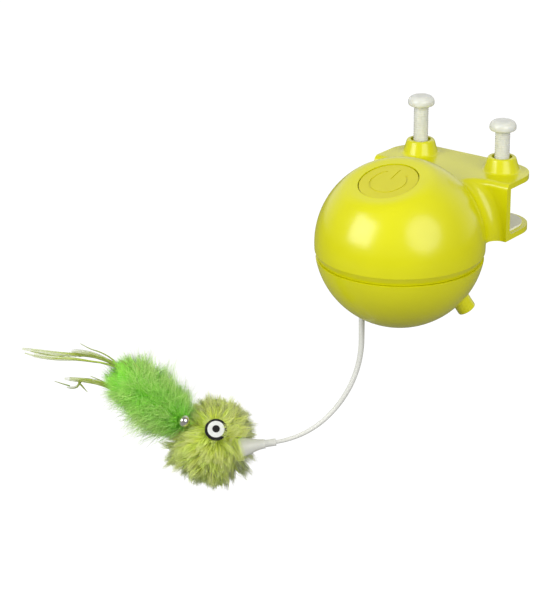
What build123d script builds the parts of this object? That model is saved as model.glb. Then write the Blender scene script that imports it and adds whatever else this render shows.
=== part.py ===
from build123d import *
import os
from math import acos, asin, atan2, cos, degrees, pi, radians, sin, sqrt, tan

# Automatic cat laser toy: a ball clamped to the edge of a shelf, whose lower half
# turns and carries a laser nozzle and a swing arm with a plush and feather lure.
# Millimetres, +Z up, +Y towards the shelf that the clamp grips.  The origin is
# the centre of the pad's top face, where the shelf rests on the lower jaw.

# ---------------------------------------------------------------- clamp
CLAMP_WIDTH = 85.0        # along the shelf's edge
PLATE = 3.0               # wall of the two jaw plates
WEB = 3.7                 # wall that joins the plates, in front of the shelf
THROAT = 25.5             # height between the plates
JAW_DEPTH = 30.1          # web to the plates' back edge
JAW_CORNER_R = 17.0       # back corners, seen from above
BEND_R = 3.4              # outside of the bends between web and plates
THROAT_R = 2.2            # inside of the same bends
PAD_THICK = 1.5
PAD_INSET = 3.0           # pad's border to the plate's edges
PAD_SINK = 0.4            # depth of the pad's recess in the lower plate

# ---------------------------------------------------------------- clamp screws
SCREW_PITCH = 1.25        # M8 thread, whose turns stand as closed rings
SCREW_R = 4.0             # over the thread
THREAD_DEPTH = 0.3
THREAD_START = 1.5        # plain neck under the head
SCREW_SHANK = 28.0        # under the head
SCREW_HEAD_R = 7.15
SCREW_HEAD_H = 5.3
SCREW_HEAD_CROWN = 3.4    # rounding over the head, and under its edge
SCREW_HEAD_EDGE = 1.2
SCREW_END = 0.8           # chamfer
SCREW_SPAN = 52.0         # between the two screws
SCREW_BACK = 16.8         # from the web's inner face
THREAD_GAP = 0.06         # radial, of the plain bore that stands for the thread
LEFT_OUT = 19.2           # shank seen between boss and head, left screw
RIGHT_OUT = 14.7          # and right screw
BOSS_FOOT_R = 9.7
BOSS_TOP_R = 7.4
BOSS_H = 7.5
BOSS_RIM_R = 1.0
BOSS_FOOT_FILLET = 1.6
BOSS_MOUTH_R = 5.5
BOSS_MOUTH_DEPTH = 1.6
TIP_R = 3.5               # soft foot that stays still while the screw turns
TIP_H = 2.0
TIP_STEM_R = 1.5
TIP_STEM_H = 5.0
TIP_GAP = 0.1             # between the foot and the screw's end
TURN_GAP = 0.05           # radial, between parts that turn in each other

# ---------------------------------------------------------------- ball
BALL_R = 45.0
SHELL = 2.0               # moulded wall
WEB_FRONT = BALL_R - 8.7  # ball's centre to the web's outer face
JAW_DROP = 1.5            # lower plate's underside below the ball's centre
NECK_R = 6.0              # hollow fillet between ball and web
EDGE_Z = -3.5             # where the upper shell starts to taper
SEAM_Z = -7.7             # its lower edge
SEAM_R = BALL_R - SHELL
RIM_Z = -8.0              # upper edge of the turning half
BUTTON_TILT = 17.0        # button's axis leans to the front, degrees
FACET = BALL_R - 6.2      # flat round the button, from the centre
FACET_R = 12.0            # its blend into the ball
BUTTON_R = 15.7
BUTTON_GAP = 0.4
BUTTON_TRAVEL = 1.5

# derived places: everything inside is set out from the ball's centre
BALL_Y = -(WEB_FRONT + WEB + JAW_DEPTH / 2)
PLATE_TOP = -JAW_DROP + PLATE
PAD_TOP = PLATE_TOP + PAD_THICK - PAD_SINK
BALL_Z = -PAD_TOP
TOP_Z = PLATE_TOP + THROAT + PLATE
CENTRE = Vector(0, BALL_Y, BALL_Z)
INNER_R = BALL_R - SHELL
JAW_BACK = WEB_FRONT + WEB + JAW_DEPTH
SCREW_Y = WEB_FRONT + WEB + SCREW_BACK

LEVEL = Plane(origin=CENTRE)
FRONT = Plane(origin=CENTRE, x_dir=(1, 0, 0), z_dir=(0, -1, 0))
SIDE = Plane(origin=CENTRE, x_dir=(0, 1, 0), z_dir=(1, 0, 0))
LEAN = radians(BUTTON_TILT)
TOP = Plane(origin=CENTRE, x_dir=(1, 0, 0), z_dir=(0, -sin(LEAN), cos(LEAN)))
SPIN = Axis(CENTRE, (0, 0, 1))
NECK_AXIS = Axis(CENTRE, (0, 1, 0))

# ---------------------------------------------------------------- gear train
MODULE = 0.5
PRESSURE = radians(20)
ADDENDUM = 0.9            # in modules
DEDENDUM = 1.25
BACKLASH = 0.12
PINION_TEETH = 12
IDLER_TEETH = 48
OUTPUT_TEETH = 60
SECOND_ANGLE = -30.0      # from the output axis to the second gear
FIRST_ANGLE = -114.0      # from the second gear to the first
MOTOR_ANGLE = 200.0       # from the first gear to the motor
CHASSIS = 3.0             # floor plate that closes the upper shell
LAYER_GAP = 0.3
OUTPUT_W = 2.5            # face widths, from the bottom layer up
SECOND_W = 2.2
FIRST_W = 2.0
COVER = 1.6
AXLE_R = 1.0
AXLE_GRIP = 2.0           # depth of the axles in the chassis
PRESS_GAP = 0.02          # radial, where a pin or shaft is pressed in
HUB_WALL = 0.8            # of the idlers' hubs
STUB_R = 2.0              # output gear's upper journal
JOURNAL_R = 1.45

CHASSIS_TOP = SEAM_Z + CHASSIS
OUTPUT_Z = CHASSIS_TOP + LAYER_GAP
SECOND_Z = OUTPUT_Z + OUTPUT_W + 0.4
FIRST_Z = SECOND_Z + SECOND_W + 0.4
COVER_Z = FIRST_Z + FIRST_W + 0.6
COVER_TOP = COVER_Z + COVER


def pitch_r(teeth):
    """Radius of a gear's pitch circle."""
    return MODULE * teeth / 2


def step(start, length, angle):
    """Point at a distance and an angle (degrees) from start, in plan."""
    return (start[0] + length * cos(radians(angle)), start[1] + length * sin(radians(angle)))


def around(radius, angles):
    """Points on a circle about the spin axis, in plan."""
    return [step((0, 0), radius, angle) for angle in angles]


OUTPUT_AT = (0.0, 0.0)
SECOND_AT = step(OUTPUT_AT, pitch_r(OUTPUT_TEETH + PINION_TEETH), SECOND_ANGLE)
FIRST_AT = step(SECOND_AT, pitch_r(IDLER_TEETH + PINION_TEETH), FIRST_ANGLE)
MOTOR_AT = step(FIRST_AT, pitch_r(IDLER_TEETH + PINION_TEETH), MOTOR_ANGLE)

# ---------------------------------------------------------------- power
CELL_R = 5.25             # AAA
CELL_LENGTH = 44.5
CELL_NUB_R = 2.5
CELL_NUB = 0.8
CELL_PITCH = 11.6
CELLS_Y = 2.0             # middle of the pair
CELL_GAP = 0.2
BOX_WALL = 1.2
BOX_MOUTH = BALL_R - 10.5     # from the ball's centre, to the left
CONTACT = 0.4             # plate
CONTACT_H = 7.0
SPRING_H = 2.0            # length of a loaded cell spring
SPRING_WIRE_R = 0.22
SPRING_FOOT_R = 3.65      # middle of the wire, at the contact
SPRING_TOP_R = 2.45       # and at the cell
SPRING_TURNS = 3
DOOR_GAP = 0.3            # round the door and to the box
DOOR_BORDER = 1.2         # door past the box's outline
DOORWAY = BOX_MOUTH - 4.0     # inner end of the doorway, from the ball's centre
DOOR_CORNER_R = 2.5
DOOR_WALL = 1.6
DOOR_RIB = 1.4
TAB_R = 4.6               # ear of the door, with its screw
TAB_RISE = 3.2            # ear's middle above the door's edge
TAB_FACE = BOX_MOUTH - 1.3    # ear's inner face, from the ball's centre
TAB_HEAD = TAB_FACE + 1.8     # seat of the screw's head
TAB_BOSS_R = 2.6
MOTOR_R = 6.0
MOTOR_FLAT = 5.0          # half the width over the motor's flats
MOTOR_LENGTH = 15.0
MOTOR_NOSE_R = 2.0
MOTOR_NOSE = 1.2
MOTOR_COLLAR = 4.0
SHAFT_R = 0.5

# ---------------------------------------------------------------- button and board
FLANGE_R = 17.2           # keeps the button in the shell
FLANGE_T = 1.5
FLANGE_GAP = 0.3          # under the shell
BUTTON_FACE = FACET - 0.4     # from the ball's centre
CAP_WALL = 1.8
GUIDE_R = 17.6            # ring in the shell round the button's flange
GUIDE_WALL = 1.2
GUIDE_H = 4.2
BOARD_TOP = 25.6
BOARD_T = 1.6
BOARD_W = 47.0
BOARD_D = 19.0
BOARD_POST_R = 2.8
BOARD_HOLE_SPAN = 40.6        # between the board's two screws
SWITCH_W = 8.0
SWITCH_H = 5.0
PLUNGER_W = 3.2
PLUNGER_REST = 3.4        # plunger's length out of the switch, at rest
PLUNGER_DEPTH = 2.0       # and inside it
# controller, driver and two resistors: place on the board, width, depth and height
BOARD_CHIPS = (
    (-11.5, 1.0, 7.0, 6.0, 1.2),
    (9.5, 5.0, 3.0, 1.6, 1.1),
    (8.5, 0.5, 2.0, 1.2, 0.6),
    (12.5, 0.5, 2.0, 1.2, 0.6),
)
CAPACITOR_AT = (11.0, -5.0)
CAPACITOR_R = 2.2
CAPACITOR_H = 4.6
SYMBOL_R = 9.8            # engraved ring on the button, middle of its groove
SYMBOL_W = 0.9
SYMBOL_DEPTH = 0.35
SYMBOL_GAP = 36.0         # half the ring's opening, degrees

# ---------------------------------------------------------------- screws of the housing
FINE_R = 1.1              # self-tapping screws: shank, head
FINE_HEAD_R = 2.0
FINE_HEAD = 1.4
HEAD_SINK = 1.7           # screw heads in the chassis
HOUSING_CIRCLE = INNER_R - 6.0
HOUSING_ANGLES = (-10.0, 125.0, 232.0)
HOUSING_POST_R = 3.0
HOUSING_POST = 9.0
HOUSING_SCREW = 8.0
BOX_SCREWS = ((-29.0, -6.0), (-29.0, 10.0), (-15.0, 11.6))
BOX_POST_R = 2.8
BOX_FOOT = 3.0            # feet under the battery box
BOX_SCREW = 11.0
COVER_SCREWS = ((-15.5, -15.0), (27.0, -22.0), (6.0, 17.5))
COVER_POST_R = 2.4
COVER_SCREW = 6.0
BOARD_SCREW = 6.0
ROTOR_SCREW = 7.0
HUB_SCREW = 7.0
DOOR_SCREW = 7.0

# ---------------------------------------------------------------- turning half
SHAFT_D = 8.0             # output shaft
FLAT = 3.2                # shaft's axis to its flat
BUSH_WALL = 2.0
BUSH_FLANGE = 0.6
ROTOR_Z = -10.0           # top of the carrier plate
ROTOR_PLATE = 2.0
ROTOR_R = sqrt(INNER_R**2 - ROTOR_Z**2) - 1.0
HUB_R = 7.0
HUB_DEPTH = 4.4           # of the socket for the shaft, under the plate
HUB_FLOOR = 1.6
RING_T = 0.4
RINGS = ((8.6, 10.8), (12.4, 14.6))
COLLAR_R = 6.0            # round the shaft, under the bush
COLLAR_TOP = -8.5
POST_R = 3.0
POST_CIRCLE = INNER_R - 9.3   # of the carrier's screws
POST_ANGLES = (98.0, -22.0, 218.0)
ACCESS_R = 3.6            # tube through which the hub's screw is reached
ACCESS_WALL = 2.0
FINGER_W = 1.6            # spring fingers on the slip rings
FINGER_T = 0.3
FINGER_REACH = 7.0        # from foot to ring
FINGER_FOOT = 3.0
ARM_HEADING = 218.0       # direction in which the arm leaves, in plan
ARM_AT = 19.7             # socket, from the spin axis
ARM_ROOT_R = 1.65
ARM_TIP_R = 1.05
ARM_DROP = 55.0           # depth of the straight stretch's end below the centre
ARM_BEND_1 = 66.0
ARM_BEND_2 = 49.0
ARM_SPLIT = 45.0          # slope between the two bends, degrees
ARM_END = 9.0             # slope at the lure
SOCKET_R = 4.2
SOCKET_TOP = -26.0
PLUG_R = 2.4
PLUG_Z = -38.0            # foot of the plug, on the socket's ledge
CAP_TOP = -24.6           # of the lid on the socket
CAP_SKIRT = -29.0
NOZZLE_R = 5.0
NOZZLE_END = (-36.3, -38.3)   # centre of the nozzle's mouth, in the arm's plane
NOZZLE_SLOPE = 58.0       # below level
NOZZLE_LENGTH = 20.0
LASER_R = 3.0
LASER_LENGTH = 14.0
LENS_R = 2.5
LENS_T = 1.0
LIP = 1.5                 # nozzle's lip in front of the lens
LIP_R = 2.1

ARM = Plane(
    origin=CENTRE,
    x_dir=(cos(radians(ARM_HEADING)), sin(radians(ARM_HEADING)), 0),
    z_dir=(sin(radians(ARM_HEADING)), -cos(radians(ARM_HEADING)), 0),
)

# ---------------------------------------------------------------- lure
PLUSH_AT = (99.0, -115.0)     # centre, in the arm's plane
PLUSH_R = 22.5
SOFT_GAP = 0.2            # between soft solids and their neighbours
FERRULE_R = 2.0           # crimp between arm and cup
FERRULE = 6.0
CUP_SMALL_R = 2.6         # cup that holds the plush
CUP_R = 5.2
CUP = 14.0
EYE_AT = (98.0, -99.7, 16.5)  # direction of the near eye: arm's plane, then out of it
EYE_R = 6.0
EYE_T = 0.8
EYE_WHITE_R = 4.6
EYE_LAYER = 0.3
PUPIL_R = 2.0
BELL_TO = (16.0, 17.4, 10.3)  # from the plush ball's centre towards the bell
BELL_R = 3.3
BELL_WALL = 0.45
BELL_SLOT = 0.9
BELL_GAP = 0.4            # to the plush ball
PEA_R = 1.3
TUFT_TO = (15.0, 10.0)    # from the plush ball's centre towards the tuft's root
TUFT_SINK = 4.5           # root inside the plush
TUFT_REACH = (43.0, 37.0) # root to tip
TUFT_R = 17.0
BINDING_R = 2.2
BINDING = 7.0
BINDING_START = 1.0       # inside the plush, before the tuft's root
# long feathers: both ends from the tuft's root, width and sag
FEATHERS = (((28.0, 31.4), (87.3, 45.0), 5.0, 2.0), ((38.5, 22.4), (64.7, 29.2), 4.0, 1.0))
FEATHER_T = 0.8

HOUSING_POINTS = around(HOUSING_CIRCLE, HOUSING_ANGLES)
SHAFT_END = ROTOR_Z - ROTOR_PLATE - HUB_DEPTH + CELL_GAP
BOX_Z = COVER_TOP         # the battery box lies on the gearbox cover
BOX_H = 2 * (CELL_R + CELL_GAP + BOX_WALL)
BOX_W = CELL_PITCH + BOX_H
BOX_MID = BOX_Z + BOX_H / 2
DOOR_W = BOX_W + 2 * DOOR_BORDER
DOOR_H = BOX_H + 2 * DOOR_BORDER
DOOR_FACE = BOX_MOUTH + DOOR_GAP
CELL_LEFT = DOOR_FACE - CONTACT - SPRING_H      # left end of the cell that meets the door's spring
CELL_RIGHT = CELL_LENGTH - CELL_LEFT            # right end of the same cell, at its nub
BOX_END = CELL_RIGHT + CONTACT
FLANGE_LOW = FACET - SHELL - FLANGE_GAP - FLANGE_T
PLUNGER_TOP = BOARD_TOP + SWITCH_H + PLUNGER_REST
SOCKET_LOW = BOARD_TOP + SWITCH_H + BUTTON_TRAVEL + CELL_GAP
DOOR = Plane(origin=CENTRE + Vector(0, CELLS_Y, BOX_MID), x_dir=(0, -1, 0), z_dir=(-1, 0, 0))
EAR = Plane(origin=DOOR.origin + Vector(0, 0, DOOR_H / 2 + TAB_RISE), x_dir=(0, -1, 0), z_dir=(-1, 0, 0))

os.makedirs("parts", exist_ok=True)


def save(part, name):
    """Label a finished piece and write it to its own file."""
    part.label = name
    export_step(part, f"parts/{name}.step")


def rings_at(builder, radius, height):
    """Circular edges of a radius whose centres lie at a height over the ball's centre."""
    circles = builder.edges().filter_by(GeomType.CIRCLE)
    return circles.filter_by(
        lambda e: abs(e.radius - radius) < 0.01 and abs(e.arc_center.Z - BALL_Z - height) < 0.01
    )


def ear_outline(inset):
    """Outline of the door's ear, drawn in by an inset, about the screw's axis."""
    with BuildSketch() as outline:
        Circle(TAB_R - inset)
        with Locations((0, -TAB_RISE / 2 - DOOR_GAP)):
            Rectangle(2 * (TAB_R - inset), TAB_RISE + 2 * DOOR_GAP)
    return outline.sketch


def fine_screw(place, length):
    """One self-tapping pan-head screw; the plane's normal points from its head to its tip."""
    with BuildPart() as screw:
        with BuildSketch(place.offset(-FINE_HEAD)):
            Circle(FINE_HEAD_R)
        extrude(amount=FINE_HEAD)
        fillet(screw.edges().sort_by(Axis(place.origin, place.z_dir))[0], radius=FINE_HEAD / 2)
        with BuildSketch(place):
            Circle(FINE_R)
        extrude(amount=length)
        chamfer(screw.edges().sort_by(Axis(place.origin, place.z_dir))[-1], length=FINE_R / 2)
        # cross recess
        with BuildSketch(place.offset(-FINE_HEAD)):
            Rectangle(FINE_HEAD_R, FINE_R / 2)
            Rectangle(FINE_R / 2, FINE_HEAD_R)
        extrude(amount=FINE_HEAD / 2, mode=Mode.SUBTRACT)
    return screw.part


def screws(places, length):
    """A group of equal screws as one compound of separate solids."""
    return Compound(children=[fine_screw(place, length) for place in places])


def coil(place, radius, top_radius, height, turns):
    """Conical spring of round wire, from the plane upwards."""
    slope = degrees(atan2(radius - top_radius, height))
    path = Helix(height / turns, height, radius, cone_angle=-slope)
    with BuildPart() as spring:
        with BuildLine():
            add(place.location * path)
        with BuildSketch(Plane(origin=(place.location * path) @ 0, z_dir=(place.location * path) % 0)):
            Circle(SPRING_WIRE_R)
        sweep(is_frenet=True)
    return spring.part


def upright(points, height):
    """Planes for screws that go up from a height over the ball's centre."""
    return [Plane(origin=CENTRE + Vector(x, y, height)) for x, y in points]


def hanging(points, height):
    """Planes for screws that go down from a height over the ball's centre."""
    return [Plane(origin=CENTRE + Vector(x, y, height), z_dir=(0, 0, -1)) for x, y in points]


# ================================================================ upper shell
# flare of the neck: an arc that leaves the ball and lands on the web, tangent to both
neck_c = Vector(sqrt((BALL_R + NECK_R) ** 2 - (WEB_FRONT - NECK_R) ** 2), WEB_FRONT - NECK_R)
neck_start = neck_c * (BALL_R / (BALL_R + NECK_R))
neck_end = neck_c + Vector(0, NECK_R)
neck_mid = neck_c + (neck_start - neck_c + neck_end - neck_c).normalized() * NECK_R
neck_front = neck_start.Y - NECK_R

with BuildPart() as clamp:
    # neck, cut to the height and width of the web; it starts inside the ball
    with BuildSketch(LEVEL):
        with BuildLine():
            ThreePointArc(neck_start, neck_mid, neck_end)
            Polyline(
                neck_end,
                (neck_end.X, WEB_FRONT + WEB / 2),
                (0, WEB_FRONT + WEB / 2),
                (0, neck_front),
                (neck_start.X, neck_front),
                neck_start,
            )
        make_face()
    revolve(axis=NECK_AXIS)
    with BuildSketch(SIDE):
        with Locations(((neck_front + WEB_FRONT + WEB) / 2, (TOP_Z - JAW_DROP) / 2)):
            Rectangle(WEB_FRONT + WEB - neck_front, TOP_Z + JAW_DROP)
    extrude(amount=CLAMP_WIDTH / 2, both=True, mode=Mode.INTERSECT)
    # block of the web and the two jaws
    with BuildSketch(SIDE):
        with Locations(((WEB_FRONT + JAW_BACK) / 2, (TOP_Z - JAW_DROP) / 2)):
            Rectangle(JAW_BACK - WEB_FRONT, TOP_Z + JAW_DROP)
    extrude(amount=CLAMP_WIDTH / 2, both=True)
    fillet(clamp.edges().filter_by(Axis.Z).group_by(Axis.Y)[-1], radius=JAW_CORNER_R)
    # bend over the web and along the neck, up to the neck's hidden end
    top_edges = clamp.edges().group_by(Axis.Z)[-1]
    bend_edges = top_edges.filter_by(lambda e: e.center().Y < BALL_Y + WEB_FRONT + BEND_R)
    fillet(bend_edges.sort_by(Axis.Y)[1:], radius=BEND_R)

with BuildSketch(LEVEL) as pad_outline:
    with Locations((0, WEB_FRONT + WEB + JAW_DEPTH / 2)):
        Rectangle(CLAMP_WIDTH - 2 * PAD_INSET, JAW_DEPTH - 2 * PAD_INSET)
    fillet(pad_outline.vertices().group_by(Axis.Y)[-1], radius=JAW_CORNER_R - PAD_INSET)

with BuildPart() as cavity:
    # inside of the shell: a ball with a straight band, kept clear of web and jaws
    with BuildSketch(FRONT):
        with BuildLine():
            low = degrees(asin(EDGE_Z / INNER_R))
            wall_arc = CenterArc((0, 0), INNER_R, low, 90 - low)
            Polyline(wall_arc @ 0, (SEAM_R - SHELL, SEAM_Z), (0, SEAM_Z), (0, INNER_R))
        make_face()
    revolve(axis=SPIN)
    split(bisect_by=TOP.offset(FACET - SHELL), keep=Keep.BOTTOM)
    with BuildSketch(LEVEL.offset(EDGE_Z)):
        with Locations((0, WEB_FRONT + BALL_R / 2)):
            Rectangle(2 * BALL_R, BALL_R)
    extrude(amount=BALL_R, mode=Mode.SUBTRACT)

with BuildPart() as shell_posts:
    # posts of the chassis screws, each with a rib out to the wall
    with BuildSketch(LEVEL.offset(CHASSIS_TOP)):
        for angle, point in zip(HOUSING_ANGLES, HOUSING_POINTS):
            with Locations(point):
                Circle(HOUSING_POST_R)
            with Locations(Location((*step((0, 0), BALL_R, angle), 0), (0, 0, angle))):
                Rectangle(2 * (BALL_R - HOUSING_CIRCLE), SHELL)
    extrude(amount=HOUSING_POST)
    with Locations(LEVEL):
        Sphere(BALL_R - SHELL / 2, mode=Mode.INTERSECT)

with BuildPart() as ear_seat:
    # cup for the door's ear, inside the wall
    with BuildSketch(EAR.offset(TAB_FACE - DOOR_GAP - DOOR_WALL)):
        add(ear_outline(-DOOR_WALL))
    extrude(amount=BALL_R)
    with Locations(LEVEL):
        Sphere(BALL_R - SHELL / 2, mode=Mode.INTERSECT)
    with BuildSketch(EAR.offset(TAB_FACE - DOOR_GAP)):
        Circle(TAB_BOSS_R)
    extrude(amount=-DOOR_SCREW)

with BuildPart() as upper_shell:
    with BuildSketch(FRONT):
        with BuildLine():
            low = degrees(asin(EDGE_Z / BALL_R))
            ball_arc = CenterArc((0, 0), BALL_R, low, 90 - low)
            Polyline(ball_arc @ 0, (SEAM_R, SEAM_Z), (0, SEAM_Z), (0, BALL_R))
        make_face()
    revolve(axis=SPIN)
    split(bisect_by=TOP.offset(FACET), keep=Keep.BOTTOM)
    facet_edge = upper_shell.faces().sort_by(Axis(CENTRE, TOP.z_dir))[-1].edges()
    fillet(facet_edge, radius=FACET_R)
    add(clamp.part)
    # mouth between the jaws, which also trims the ball behind the web
    with BuildSketch(SIDE) as mouth:
        with Locations((WEB_FRONT + WEB + BALL_R / 2, PLATE_TOP + THROAT / 2)):
            Rectangle(BALL_R, THROAT)
        fillet(mouth.vertices().group_by(Axis.Y)[0], radius=THROAT_R)
    extrude(amount=CLAMP_WIDTH, both=True, mode=Mode.SUBTRACT)
    # screw bosses on the top plate
    with Locations(LEVEL.offset(TOP_Z)):
        with Locations((-SCREW_SPAN / 2, SCREW_Y), (SCREW_SPAN / 2, SCREW_Y)):
            Cone(BOSS_FOOT_R, BOSS_TOP_R, BOSS_H, align=(Align.CENTER, Align.CENTER, Align.MIN))
    fillet(rings_at(upper_shell, BOSS_TOP_R, TOP_Z + BOSS_H), radius=BOSS_RIM_R)
    fillet(rings_at(upper_shell, BOSS_FOOT_R, TOP_Z), radius=BOSS_FOOT_FILLET)
    with Locations(LEVEL.offset(TOP_Z + BOSS_H)):
        with Locations((-SCREW_SPAN / 2, SCREW_Y), (SCREW_SPAN / 2, SCREW_Y)):
            CounterBoreHole(SCREW_R + THREAD_GAP, BOSS_MOUTH_R, BOSS_MOUTH_DEPTH, BOSS_H + PLATE + THROAT / 2)
    add(cavity.part, mode=Mode.SUBTRACT)
    # ring that guides the button, then the button's opening
    with BuildSketch(TOP.offset(FACET - SHELL - GUIDE_H)):
        Circle(GUIDE_R + GUIDE_WALL)
        Circle(GUIDE_R, mode=Mode.SUBTRACT)
    extrude(amount=GUIDE_H + SHELL / 4)
    with BuildSketch(TOP.offset(FACET - SHELL)):
        Circle(BUTTON_R + BUTTON_GAP)
    extrude(amount=2 * SHELL, mode=Mode.SUBTRACT)
    # posts of the circuit board
    with BuildSketch(TOP.offset(BOARD_TOP)):
        with Locations((-BOARD_HOLE_SPAN / 2, 0), (BOARD_HOLE_SPAN / 2, 0)):
            Circle(BOARD_POST_R)
    extrude(amount=FACET - SHELL / 2 - BOARD_TOP)
    with BuildSketch(TOP.offset(BOARD_TOP)):
        with Locations((-BOARD_HOLE_SPAN / 2, 0), (BOARD_HOLE_SPAN / 2, 0)):
            Circle(FINE_R + PRESS_GAP)
    extrude(amount=BOARD_SCREW, mode=Mode.SUBTRACT)
    # posts of the chassis screws
    add(shell_posts.part)
    with BuildSketch(LEVEL.offset(CHASSIS_TOP)):
        with Locations(*HOUSING_POINTS):
            Circle(FINE_R + PRESS_GAP)
    extrude(amount=HOUSING_SCREW, mode=Mode.SUBTRACT)
    # battery doorway, and the seat of the door's ear with its screw boss
    add(ear_seat.part)
    with BuildSketch(DOOR.offset(DOORWAY)):
        RectangleRounded(DOOR_W, DOOR_H, DOOR_CORNER_R)
    extrude(amount=BALL_R, mode=Mode.SUBTRACT)
    with BuildSketch(EAR.offset(TAB_FACE - DOOR_GAP)):
        add(ear_outline(0))
    extrude(amount=BALL_R, mode=Mode.SUBTRACT)
    with BuildSketch(EAR.offset(TAB_FACE - DOOR_GAP)):
        Circle(FINE_R + TURN_GAP)
    extrude(amount=-DOOR_SCREW, mode=Mode.SUBTRACT)
    # seat of the pad on the lower jaw
    with BuildSketch(LEVEL.offset(PLATE_TOP)):
        add(pad_outline.sketch_local)
    extrude(amount=-PAD_SINK, mode=Mode.SUBTRACT)
save(upper_shell.part, "upper_shell")

# soft pad that spares the underside of the shelf
with BuildPart() as jaw_pad:
    with BuildSketch(LEVEL.offset(PLATE_TOP - PAD_SINK)):
        offset(pad_outline.sketch_local, amount=-PRESS_GAP)
    extrude(amount=PAD_THICK)
save(jaw_pad.part, "jaw_pad")


# ================================================================ clamp screws
def thread_profile():
    """Half section of the shank, hanging from the origin: radius, then height."""
    points = [(0, 0), (SCREW_R, 0)]
    turns = int((SCREW_SHANK - THREAD_START - SCREW_END) / SCREW_PITCH)
    for turn in range(turns):
        crest = -THREAD_START - turn * SCREW_PITCH
        points += [(SCREW_R, crest), (SCREW_R - THREAD_DEPTH, crest - SCREW_PITCH / 2)]
        points.append((SCREW_R, crest - SCREW_PITCH * 3 / 4))
    points += [(SCREW_R, SCREW_END - SCREW_SHANK), (SCREW_R - SCREW_END, -SCREW_SHANK), (0, -SCREW_SHANK)]
    return points


def clamp_screw(x, out):
    """Nylon screw of the clamp, with its shank out of the boss by a length."""
    seat = LEVEL.offset(TOP_Z + BOSS_H + out)
    with BuildPart() as screw:
        with BuildSketch(seat):
            with Locations((x, SCREW_Y)):
                Circle(SCREW_HEAD_R)
        extrude(amount=SCREW_HEAD_H)
        fillet(screw.edges().group_by(Axis.Z)[-1], radius=SCREW_HEAD_CROWN)
        fillet(screw.edges().group_by(Axis.Z)[0], radius=SCREW_HEAD_EDGE)
        neck = seat.from_local_coords((x, SCREW_Y, 0))
        with BuildSketch(Plane(origin=neck, x_dir=(1, 0, 0), z_dir=(0, -1, 0))):
            with BuildLine():
                Polyline(*thread_profile(), close=True)
            make_face()
        revolve(axis=Axis(neck, (0, 0, 1)))
        # socket of the foot's stem
        with BuildSketch(seat.offset(-SCREW_SHANK)):
            with Locations((x, SCREW_Y)):
                Circle(TIP_STEM_R + TURN_GAP)
        extrude(amount=TIP_STEM_H + DOOR_GAP, mode=Mode.SUBTRACT)
    return screw.part


def screw_tip(x, out):
    """Soft foot under a clamp screw: a button with a stem up in the screw's end."""
    seat = LEVEL.offset(TOP_Z + BOSS_H + out - SCREW_SHANK - TIP_GAP)
    with BuildPart() as tip:
        with BuildSketch(seat):
            with Locations((x, SCREW_Y)):
                Circle(TIP_R)
        extrude(amount=-TIP_H)
        fillet(tip.edges().group_by(Axis.Z)[0], radius=TIP_H / 4)
        with BuildSketch(seat):
            with Locations((x, SCREW_Y)):
                Circle(TIP_STEM_R)
        extrude(amount=TIP_STEM_H)
    return tip.part


for side, x, out in (("left", -SCREW_SPAN / 2, LEFT_OUT), ("right", SCREW_SPAN / 2, RIGHT_OUT)):
    save(clamp_screw(x, out), f"{side}_clamp_screw")
    save(screw_tip(x, out), f"{side}_screw_tip")

# ================================================================ power button
with BuildPart() as power_button:
    with BuildSketch(TOP.offset(BUTTON_FACE)):
        Circle(BUTTON_R)
    extrude(amount=-(BUTTON_FACE - FLANGE_LOW))
    fillet(power_button.edges().sort_by(Axis(CENTRE, TOP.z_dir))[-1], radius=SYMBOL_DEPTH)
    with BuildSketch(TOP.offset(FLANGE_LOW)):
        Circle(FLANGE_R)
    extrude(amount=FLANGE_T)
    with BuildSketch(TOP.offset(FLANGE_LOW)):
        Circle(BUTTON_R - CAP_WALL)
    extrude(amount=BUTTON_FACE - CAP_WALL - FLANGE_LOW, mode=Mode.SUBTRACT)
    # socket on the plunger
    with BuildSketch(TOP.offset(BUTTON_FACE - CAP_WALL)):
        Circle(PLUNGER_W)
    extrude(amount=-(BUTTON_FACE - CAP_WALL - SOCKET_LOW))
    with BuildSketch(TOP.offset(SOCKET_LOW)):
        Rectangle(PLUNGER_W + 2 * PRESS_GAP, PLUNGER_W + 2 * PRESS_GAP)
    extrude(amount=PLUNGER_TOP + PRESS_GAP - SOCKET_LOW, mode=Mode.SUBTRACT)
    # power symbol: an open ring and a bar, engraved
    with BuildSketch(TOP.offset(BUTTON_FACE)):
        with BuildLine():
            CenterArc((0, 0), SYMBOL_R, 90 + SYMBOL_GAP, 360 - 2 * SYMBOL_GAP)
        trace(line_width=SYMBOL_W)
        with BuildLine():
            Line((0, SYMBOL_R / 4), (0, SYMBOL_R * 1.15))
        trace(line_width=SYMBOL_W)
    extrude(amount=-SYMBOL_DEPTH, mode=Mode.SUBTRACT)
save(power_button.part, "power_button")

with BuildPart() as switch_plunger:
    with BuildSketch(TOP.offset(BOARD_TOP + SWITCH_H - PLUNGER_DEPTH)):
        Rectangle(PLUNGER_W, PLUNGER_W)
    extrude(amount=PLUNGER_DEPTH + PLUNGER_REST)
save(switch_plunger.part, "switch_plunger")

with BuildPart() as switch_body:
    with BuildSketch(TOP.offset(BOARD_TOP)):
        Rectangle(SWITCH_W, SWITCH_W)
    extrude(amount=SWITCH_H)
    fillet(switch_body.edges().filter_by(Axis(CENTRE, TOP.z_dir)), radius=CONTACT)
    with BuildSketch(TOP.offset(BOARD_TOP + SWITCH_H)):
        Rectangle(PLUNGER_W + 2 * TURN_GAP, PLUNGER_W + 2 * TURN_GAP)
    extrude(amount=-(PLUNGER_DEPTH + BUTTON_TRAVEL + LAYER_GAP), mode=Mode.SUBTRACT)
save(switch_body.part, "switch_body")

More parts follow.
